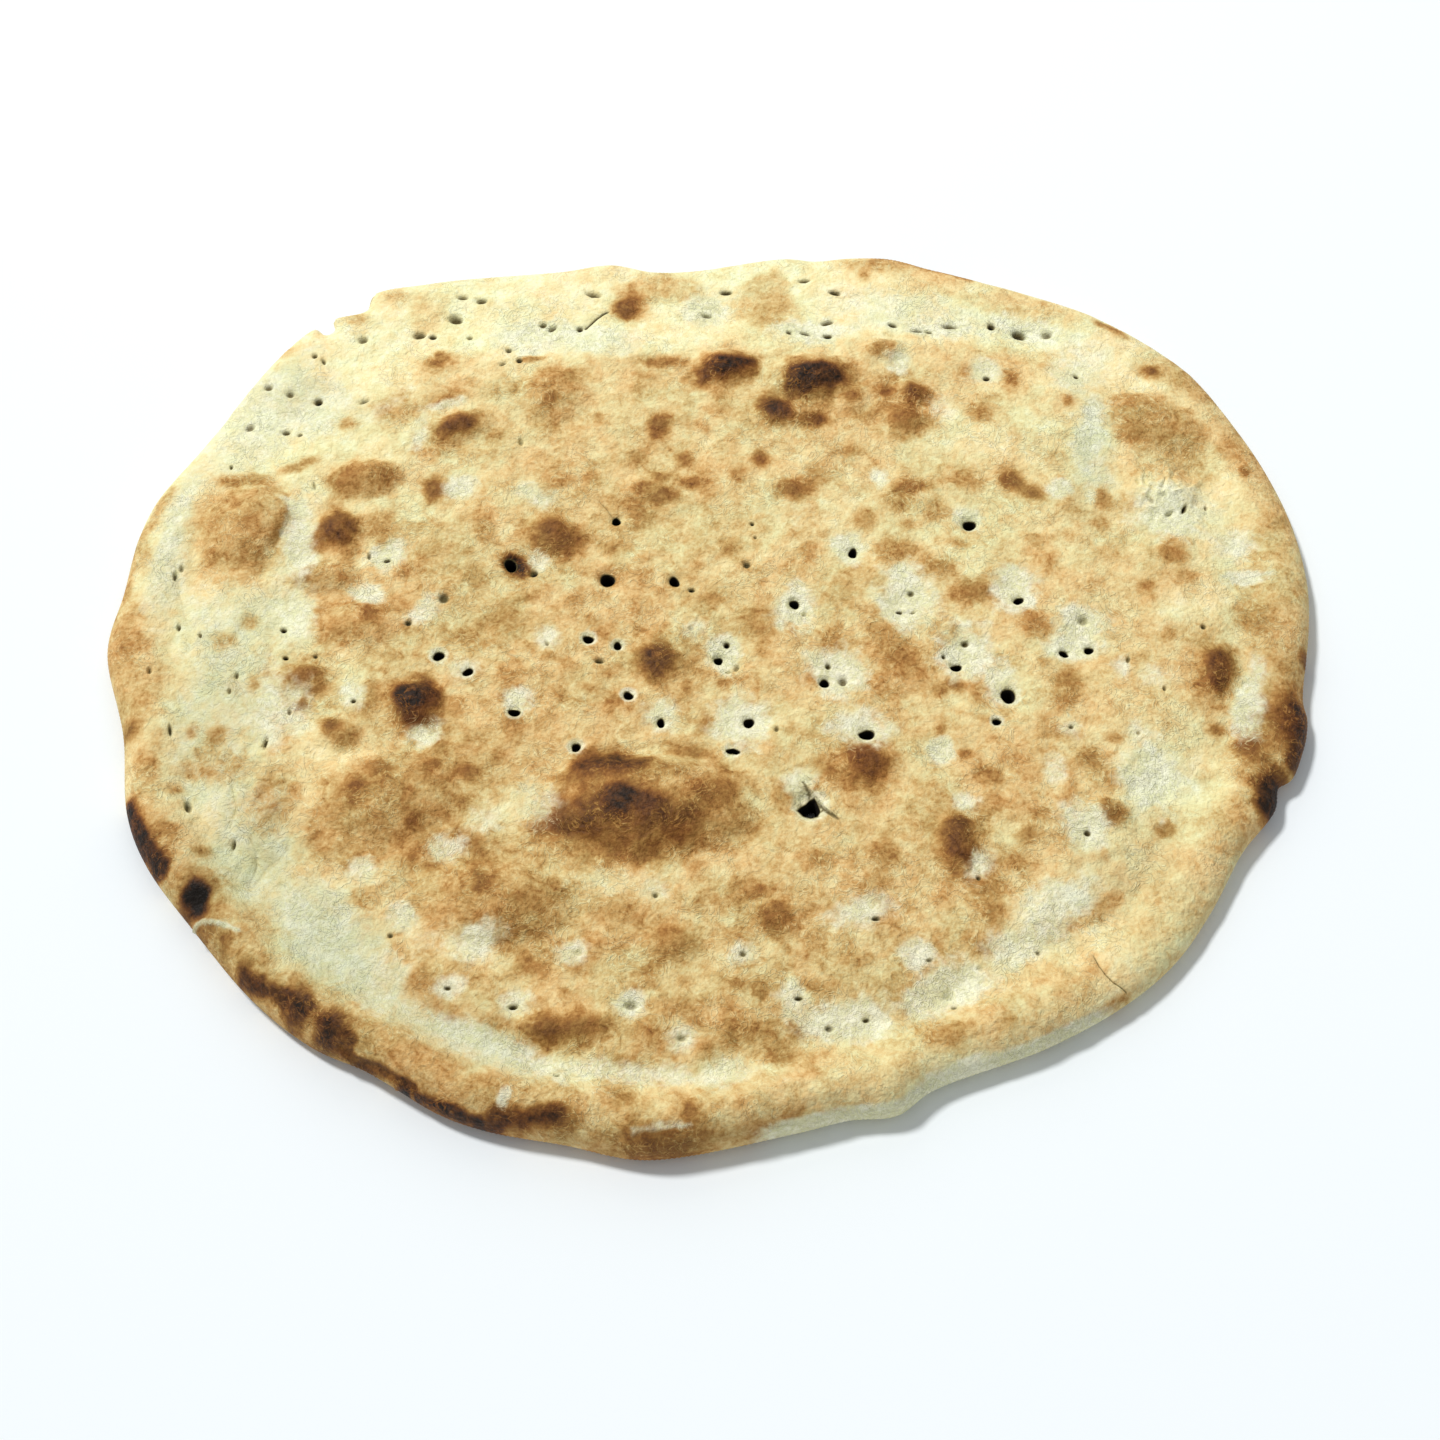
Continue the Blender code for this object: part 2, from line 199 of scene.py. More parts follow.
# The first holes of the list have no pale collar
BARE_HOLES = 4
# Where a hole's wall has its rings: share of the depth, share of the radius
HOLE_WALL = [(0.05, 0.90), (0.22, 0.80), (0.5, 0.82), (0.78, 0.90)]

# The torn hole beside the large blister, its corners anticlockwise
TEAR = [(28.0, -57.0), (30.0, -59.0), (32.4, -59.4), (34.6, -59.2), (35.4, -57.2), (34.9, -55.6),
        (34.4, -54.2), (33.6, -52.6), (32.0, -53.4), (31.0, -54.8), (29.4, -55.6)]

# Small pits that don't go through: middle x and y, width, length, turn, depth, how dark their painted shade
# is
PITS = [
    (-61.5, 35, 3, 3, 0, 2, 0.9), (12, 38.7, 2.8, 3, 0, 1.8, 0.75), (-38, 0, 3.8, 2.2, 0, 1.8, 0.7),
    (5, 6, 2.2, 2.2, 0, 1.8, 1), (39.3, -2.4, 2.2, 2.2, 0, 1.4, 0.7),
    (44, -8, 3.2, 4, 0, 1.8, 0.6), (8.3, -3, 2.2, 3.6, -20, 1.2, 0.5), (5.5, -4.7, 2.4, 1.2, 0, 1, 0.4),
    (21.5, -26.7, 1.9, 2.4, 0, 1.2, 0.6), (85.8, 6.5, 3, 2.4, 10, 1.6, 0.7),
    (78.5, 1.5, 1.8, 1.8, 0, 1.1, 0.7), (68.2, 26.7, 2.7, 2.2, 0, 1.4, 0.6),
    (64, 19.2, 2.3, 1.5, 10, 1.5, 1), (68.5, 19.3, 2.2, 1.2, 15, 1.1, 0.5),
    (31.5, 18.6, 2, 1.5, 0, 1, 0.4), (-7, 28.3, 2.5, 1.7, 0, 1.4, 0.9),
    (-7, 13, 2.1, 2, 0, 1, 0.4), (-56, 7, 1.6, 2.5, 15, 1.1, 0.5), (-92, 25, 4, 4, 0, 1.7, 0.7),
    (-103.5, 15, 2.5, 2.5, 0, 1.5, 0.8), (-112.5, 40.5, 2.5, 1.7, 0, 1.4, 0.9),
    (-118.5, 42, 1.6, 3, 0, 1.1, 0.5), (-145.7, 12, 2.1, 2.1, 0, 1.5, 0.9),
    (-144, 0.7, 2, 1.6, 0, 1.3, 0.9), (-134, 1.5, 1.8, 1.5, 0, 1.1, 0.7),
    (-120, -15.8, 2, 1.7, 0, 1.2, 0.8), (126.5, 16, 4, 3.4, 0, 1.6, 0.45),
    (167.5, 13.5, 2.1, 2.1, 0, 1.3, 0.7), (165.5, 62, 1.6, 4.8, -30, 1.7, 0.85),
    (173, 62.5, 1.4, 3, -15, 1.2, 0.5), (154, 66, 1.8, 4, 30, 1.2, 0.45),
    (160, 60, 4, 1.6, 20, 1, 0.35), (140.7, 0.3, 1.6, 2.8, -15, 1.1, 0.6),
    (152, -11, 1.5, 2, 0, 1.1, 0.6), (119.7, -25.7, 2.2, 1.7, 0, 1.1, 0.6),
    (142, -28, 1.8, 1.8, 0, 1, 0.4), (122.2, -65.7, 2.5, 2.4, 0, 1.5, 0.8),
    (86, -82, 1.8, 1.8, 0, 1.3, 0.7), (-18, -88, 2.2, 2, 0, 1.2, 0.6),
    (-62, -127, 3, 1.6, 10, 1.5, 0.8), (-25, -126.3, 4.3, 3, 0, 1.6, 0.45),
    (-9, -137.3, 3.5, 2.2, 10, 1.4, 0.45), (-47.5, -149.8, 2, 1.4, 0, 1.1, 0.5),
    (-102, -102.3, 2, 2, 0, 1.3, 0.7), (-83, -120.5, 2.5, 1.6, 0, 1.2, 0.7),
    (52.5, -96.5, 3.2, 1.6, 5, 1.4, 0.75), (10, -108.5, 2.6, 2.4, 0, 1.3, 0.6),
    (27.5, -124, 3, 1.5, 5, 1.3, 0.75), (36.8, -134.3, 3, 2.5, 0, 1.4, 0.55),
    (48.5, -131.5, 2.6, 1.6, 15, 1.2, 0.65), (76, -127.3, 2, 1.4, 0, 1.1, 0.6),
    (74.5, -123.5, 3.8, 3, 0, 1.2, 0.3), (69, -111, 2.5, 1.4, 0, 1.1, 0.5),
    (85, -114, 2.5, 2.2, 0, 1, 0.3), (103.5, -108.5, 1.8, 1.6, 0, 1, 0.5),
    (-42, -108, 3.8, 2.8, 0, 1.1, 0.3), (14, 55.7, 1.6, 1.6, 0, 1.2, 0.8),
    (15, 50, 1.4, 1.4, 0, 0.9, 0.6), (99, 119.3, 2, 2, 0, 1.4, 0.9),
    (131.5, 120, 1.7, 1.8, 0, 1.2, 0.7), (-68, 91, 1.8, 2.8, 0, 1, 0.3),
    (-160, 115, 3, 2.6, 0, 1.1, 0.45), (-152, 112, 3, 2.4, -20, 1.2, 0.45),
    (-141.5, 108.5, 2.6, 3, 0, 1.7, 0.75), (-125, 109, 4, 1.7, 30, 1.1, 0.4),
    (-144.5, 129.5, 2, 2, 0, 1.2, 0.55), (-141, 127, 1.4, 2.8, 20, 1, 0.45),
    (-127.5, 137, 3.6, 3, 0, 1.3, 0.45), (-107, 139, 4.6, 3.4, 0, 1.5, 0.55),
    (-102, 138, 2.4, 2, 0, 1.4, 0.8), (-165, 97, 3.6, 2.6, 30, 1.1, 0.4),
    (-152, 95, 3, 2, -20, 1.3, 0.55), (-147, 94, 2, 1.6, 0, 1, 0.4),
    (-92, 156.5, 4, 1.9, 0, 1.2, 0.45), (-85, 155, 3.8, 3, 0, 1.4, 0.55),
    (-94, 146, 4.8, 3.6, -20, 1.7, 0.55), (-88.5, 138, 2, 2, 0, 1.1, 0.45),
    (-74, 132, 2, 2, 0, 1.2, 0.55), (-76, 126, 3, 1.6, 30, 1, 0.4),
    (-70, 127.5, 2, 2.4, 0, 1.4, 0.75), (-62, 144, 2.8, 2, 30, 1.3, 0.5),
    (-58.5, 142.5, 3.4, 1.8, 30, 1.2, 0.5), (-44, 158, 5.6, 2.3, -15, 1.5, 0.5),
    (-48.5, 142, 2, 2, 0, 1.3, 0.7), (5, 158.7, 4, 2, 0, 1.5, 0.7),
    (34, 164.5, 4, 1.6, 15, 1.2, 0.55), (45, 158.8, 4, 2, -20, 1.5, 0.65),
    (-2, 148, 3.8, 1.8, 0, 1.1, 0.4), (42, 145, 4.2, 2.2, 10, 1.5, 0.6),
    (28, 140.5, 2, 1.6, -60, 1.2, 0.7), (34, 140, 3.4, 1.6, -25, 1.4, 0.7),
    (42, 138.8, 2.6, 1.9, 0, 1.6, 1), (66, 143.5, 3, 1.6, -10, 1.4, 0.7),
    (75, 141, 4, 1.6, 0, 1.2, 0.5), (79, 140.5, 3, 1.5, -20, 1.2, 0.6),
    (87, 143.5, 6, 2, -5, 1.3, 0.5), (102, 142.8, 2.6, 2.8, -30, 1.5, 0.75),
    (112, 139, 4.6, 3.8, -30, 1.9, 0.65), (122, 139.5, 3.8, 3, 0, 1.5, 0.4),
    (-174, 10, 1.4, 2.6, 20, 1.1, 0.5), (-181.5, 13, 1.6, 3, 0, 1.2, 0.5),
    (-185, 34, 1.6, 4, 0, 1.2, 0.5), (-183, 37, 2, 3, 0, 1, 0.4), (-170, 80, 1.4, 2.4, 0, 1, 0.5),
    (-140, 72, 1.4, 4, 10, 1, 0.45), (-180, -27, 1.6, 5, 10, 1.3, 0.5),
    (-148, -32, 1.6, 6, -10, 1.3, 0.5), (-160, -6, 1.5, 3, 0, 1.1, 0.45),
    (-162, -12, 1.6, 2.6, 0, 1, 0.4), (-189.5, -4, 1.8, 3, 0, 1.1, 0.4),
    (-171, -56, 2.6, 5, 15, 1.5, 0.5), (-155, -70, 1.4, 4, -10, 1.1, 0.4),
    (-141, -20, 1.6, 2.6, 0, 1, 0.4), (150, 74, 1.6, 3.4, 15, 1, 0.3),
    (156, 76.5, 5, 6.5, 0, 0.7, 0.16), (166, 76.5, 5.5, 6.5, 0, 0.8, 0.18),
    (152.5, 66, 4, 5, -10, 0.6, 0.22), (170, 65, 4, 5, 0, 0.6, 0.25),
]
# The far pits, from this y on, are wider and deeper than they look from the near side and get more painted
# shade, and the left pits, up to this x, are deeper and get more painted shade
FAR_PITS_FROM = 90.0
LEFT_PITS_TO = -140.0
FAR_PIT_GROW = 1.2
SIDE_PIT_DEPTH = 1.3
FAR_PIT_SHADE = 0.15
LEFT_PIT_SHADE = 0.10

# Creases and cracks: half width, depth, how dark their painted shade is, points
CREASES = [
    (0.7, 1.0, 0.8, [(-46.5, 142.5), (-42.5, 147), (-38.5, 150)]),
    (1.6, 1.1, 0.28, [(-147.5, -85), (-145.5, -81), (-143.5, -77.5), (-140, -74.5), (-137.5, -71)]),
    (0.4, 0.8, 0.55, [(121, -109.5), (122.5, -113), (124.5, -116), (126.5, -118.5),
                      (129, -120.5), (131, -123)]),
    (1.8, 1.0, 0.12, [(-150, 52), (-153, 43), (-156, 34)]),
    (0.8, 0.5, 0.2, [(-54, -73), (-51, -75.5), (-48, -80)]),
    (0.9, 0.6, 0.15, [(-147, 86), (-146, 78), (-141, 70)]),
    (0.8, 0.6, 0.2, [(-165, 79.5), (-155, 77), (-149, 69), (-147.5, 58), (-151, 46)]),
    (1.0, 0.7, 0.2, [(-170, 22), (-176, 14), (-178, 2)]),
    (0.9, 0.6, 0.2, [(18, -47), (24, -51), (30, -53)]),
    (0.9, 0.5, 0.55, [(30, -46.5), (31.5, -50), (32.5, -53)]),
    (0.8, 0.6, 0.6, [(35.2, -55), (38.2, -58.5), (41, -60.5)]),
    (0.7, 0.8, 0.4, [(-35, 59), (-37, 62.5), (-39.5, 65.5)]),
    (0.9, 0.9, 0.3, [(-151, -66), (-148, -72), (-147, -78), (-149, -84)]),
    (0.8, 0.8, 0.25, [(-158, -48), (-156, -56), (-157, -64)]),
    (0.8, 0.7, 0.25, [(-186, 42), (-184, 32), (-181, 20), (-178, 12)]),
    (0.5, 0.8, 0.5, [(-143.5, 141), (-141, 142.5), (-139, 146)]),
    (0.5, 0.8, 0.4, [(-127, 152), (-126, 155), (-125, 158)]),
    (0.5, 0.9, 0.2, [(-115, -141), (-109, -145.5), (-102, -147.5), (-96, -151.5), (-91, -153.5)]),
]

# Flattened bubbles at the right with a creased rim: middle x and y, width, length
BUBBLES = [(156, 75.5, 8, 9), (166, 75.5, 7, 9)]
# The rim's crease: half width, depth, how dark its painted shade is
BUBBLE_CREASE = (0.5, 0.5, 0.25)
BUBBLE_POINTS = 8

# Raised folds: half width, height, points
FOLDS = [
    (1.0, 0.9, [(-168, -99), (-162, -97.5), (-155, -98.5), (-150, -101)]),
    (0.8, 1.3, [(29, -47.5), (33, -50), (35.5, -53.5), (38, -57.5), (41, -60.5)]),
    (0.6, 1.1, [(31, -44.5), (34, -47), (36.5, -51)]),
    (2.0, 0.8, [(-45, -36), (-33, -32), (-20, -31), (-3, -31)]),
    (0.7, 0.5, [(48, -25.5), (51, -26.3), (54.5, -26.5)]),
    (1.1, 0.7, [(-64, -122.5), (-61, -124), (-58.5, -126.5)]),
    (1.2, 0.6, [(-143, -88), (-139, -83), (-134, -80)]),
    (1.2, 0.6, [(-100, 100), (-97, 108), (-90, 111)]),
    (0.7, 0.4, [(-72, 71), (-66, 72), (-61, 68)]),
    (0.8, 0.7, [(-114, -143.5), (-107, -147.5), (-99, -151.5), (-92, -155)]),
    (0.6, 0.5, [(161, 81), (161, 76), (160, 71), (157, 68)]),
    (0.6, 0.5, [(151, 79), (151.5, 72), (156, 69.5), (162, 69.5), (169, 71), (173, 75)]),
]

# Wrinkled places: middle x and y, half sizes, turn of the wrinkles, spacing, height as it looks
WRINKLES = [
    (145, -46, 9, 12, 68, 2.6, 0.45), (122, -64, 8, 8, 70, 2.6, 0.3), (160, 66, 14, 12, 60, 3.4, 0.5),
    (182, 46, 7, 7, 20, 3.0, 0.4), (183, 33, 7, 4, 10, 2.4, 0.35), (134, 88, 7, 12, 75, 3.0, 0.3),
    (70, -116, 18, 12, 30, 3.0, 0.3), (44, -131, 14, 7, 10, 3.0, 0.25), (108, -92, 16, 9, 25, 3.0, 0.25),
    (-60, 138, 18, 8, 25, 3.2, 0.3), (-150, -60, 12, 28, 80, 5.0, 0.35), (42, 141, 18, 8, 5, 3.2, 0.25),
    (78, 142, 14, 6, 5, 3.2, 0.25), (-40, -146, 40, 6, -10, 3.2, 0.3), (-86, 68, 8, 7, 40, 2.4, 0.3),
    (-120, -105, 22, 10, -45, 4.0, 0.3), (176, -18, 8, 14, 70, 2.8, 0.3),
    (-8, 150, 10, 14, 10, 3.4, 0.25), (-155, 15, 14, 26, 70, 4.5, 0.3), (66, 24, 8, 10, 40, 2.6, 0.2),
    (36, -88, 12, 7, 20, 3.0, 0.2), (-76, -106, 12, 8, 30, 3.0, 0.2), (20, -155, 40, 6, 12, 3.0, 0.25),
]
# How much higher those stand than they look
WRINKLE_RISE = 1.8
# Broad slack wrinkles: the same values, with the height that they have
SLACK_WRINKLES = [
    (-162, -45, 16, 26, 78, 4.6, 0.6), (-133, -92, 20, 12, -42, 4.2, 0.6),
    (-86, -132, 30, 10, -25, 3.6, 0.45), (-158, 104, 22, 24, 60, 5.0, 0.35),
    (-186, 45, 8, 30, 85, 3.6, 0.4), (132, -78, 22, 16, 32, 3.4, 0.4),
    (92, -138, 34, 9, 24, 4.0, 0.4), (160, -84, 20, 14, 52, 4.0, 0.4), (30, -160, 40, 8, 10, 4.2, 0.35),
]

# How brown the crust is: level from 0 unbaked to 1 burnt, for the middle, far band, rim and valley
GROUND = 0.38
BAND_LEVEL = 0.13
RIM_LEVEL = 0.43
VALLEY_LEVEL = 0.20
PALE_LEVEL = 0.10
# How golden the rim is by bearing in degrees from +X
RIM_TONE = [(0, 1.0), (180, 1.0), (235, 1.0), (275, 0.8), (295, 0.50), (325, 0.50), (345, 0.7)]
# Painted shade and light: how much browner the near side is than the middle, and the far side paler, as the
# light falls from the far side
NEAR_PAINTED_SHADE = 0.075
# Mottling: height in level, size of its swells, seed
MOTTLE = [(0.085, 17.0, 53.0), (0.10, 7.0, 21.0), (0.08, 3.6, 33.0)]
# Blotches where the noise is high: height in level, size of the swells, seed
BLOTCHES = [(0.12, 12.0, 57.0), (0.09, 6.0, 59.0)]

# Broad pale places: middle x and y, half sizes, turn, share
PALE_GROUND = [
    (-156, 106, 26, 30, -35, 0.9), (-168, 80, 14, 26, 20, 0.7), (-186, 45, 7, 30, -8, 0.8),
    (-146, 40, 9, 42, 0, 0.85), (-165, 18, 18, 22, 0, 0.8), (-160, -15, 22, 20, 0, 0.7),
    (-165, -40, 14, 22, 10, 0.8), (-150, -75, 16, 24, 20, 0.70), (-125, -100, 26, 14, -42, 0.9),
    (-95, -122, 26, 11, -35, 0.85), (-70, -140, 34, 8, -20, 0.8), (-20, -151, 34, 5, -3, 0.6),
    (-80, -106, 18, 8, -20, 0.6), (-112, -82, 12, 9, 0, 0.5), (-50, 136, 30, 8, 4, 1.0),
    (-120, 140, 30, 14, 25, 0.45), (-60, 158, 50, 10, 0, 0.3), (75, 150, 52, 10, -6, 0.7),
    (130, 128, 18, 16, -30, 0.75), (136, 80, 8, 32, -8, 0.8), (166, 66, 16, 14, -10, 0.7),
    (184, 42, 8, 14, 0, 0.6), (160, 20, 14, 18, 0, 0.4), (125, 12, 16, 10, 0, 0.3),
    (146, -48, 16, 20, 0, 0.6), (130, -78, 22, 16, 30, 0.6), (105, -98, 26, 10, 28, 0.7),
    (75, -118, 22, 9, 22, 0.7), (160, -70, 10, 20, -35, 0.5), (178, -12, 7, 18, -12, 0.5),
    (60, -150, 40, 9, 14, 0.8), (120, -118, 30, 9, 36, 0.7), (176, -62, 10, 26, -30, 0.85),
    (20, -140, 30, 8, 8, 0.3), (40, -90, 16, 10, 10, 0.4), (-30, -85, 22, 12, 0, 0.4),
    (-60, -55, 10, 10, 0, 0.35), (90, 95, 30, 14, 0, 0.3), (30, 62, 30, 8, 0, 0.25),
]

# Broad browner or paler places: middle x and y, half sizes, turn, level
PATCHES = [
    (-125, 50, 34, 60, 15, 0.20), (-138, -20, 30, 42, 0, 0.24), (-163, 57, 17, 21, 0, 0.54),
    (-123, 76, 13, 8, 0, 0.54), (-131, 52, 8, 10, 0, 0.54), (-133, 35, 11, 7, 0, 0.46),
    (-112, 53, 7, 10, 0, 0.46), (-124, 17, 14, 10, -8, 0.52), (-136, -10, 12, 12, 0, 0.52),
    (-104, -16, 18, 14, 0, 0.50), (-103, -56, 26, 21, 5, 0.56), (-66, -89, 21, 16, -10, 0.57),
    (-143, -51, 8, 10, 0, 0.48), (-167, -40, 8, 7, 0, 0.46), (-110, -89, 6, 4, 0, 0.48),
    (-80, -122, 16, 11, -20, 0.46), (-32, -82, 24, 13, 0, 0.28), (-20, -51, 36, 20, -4, 0.57),
    (-90, 98, 12, 9, 15, 0.52), (-57, 112, 15, 15, 0, 0.50), (-41, 104, 34, 18, 0, 0.41),
    (-104, 150, 8, 10, 0, 0.36), (-18, 160, 14, 8, 0, 0.40), (20, 156, 10, 14, 0, 0.44),
    (98, 160, 40, 9, -22, 0.34), (102, 127, 28, 10, -5, 0.38), (22, 108, 34, 18, 0, 0.47),
    (66, 108, 16, 14, 0, 0.50), (96, 94, 18, 10, 0, 0.26), (158, 98, 20, 14, -25, 0.54),
    (160, 82, 20, 12, 0, 0.42), (134, 88, 8, 20, -8, 0.18), (158, 42, 12, 12, 0, 0.48),
    (190, 90, 12, 36, 22, 0.38), (192, 20, 12, 40, 0, 0.44), (168, -2, 12, 18, 0, 0.46),
    (186, -30, 14, 26, -15, 0.62), (49, -38, 15, 12, 0, 0.56), (90, -60, 42, 26, 0, 0.42),
    (150, -80, 26, 26, 40, 0.30), (106, -123, 18, 10, 30, 0.40), (30, -105, 55, 30, 0, 0.42),
    (-10, -125, 60, 24, 0, 0.42), (112, 40, 50, 30, 0, 0.36), (30, 10, 50, 22, 0, 0.42),
    (-30, 62, 42, 26, 0, 0.46), (-40, 10, 60, 34, 0, 0.44), (14, -149, 40, 9, 6, 0.31),
    (-94, 40, 20, 20, 0, 0.48), (-62, -34, 20, 14, 0, 0.46), (-62, -72, 18, 10, 0, 0.46),
    (-84, -42, 16, 14, 0, 0.50), (-96, 12, 20, 16, 0, 0.46),
]

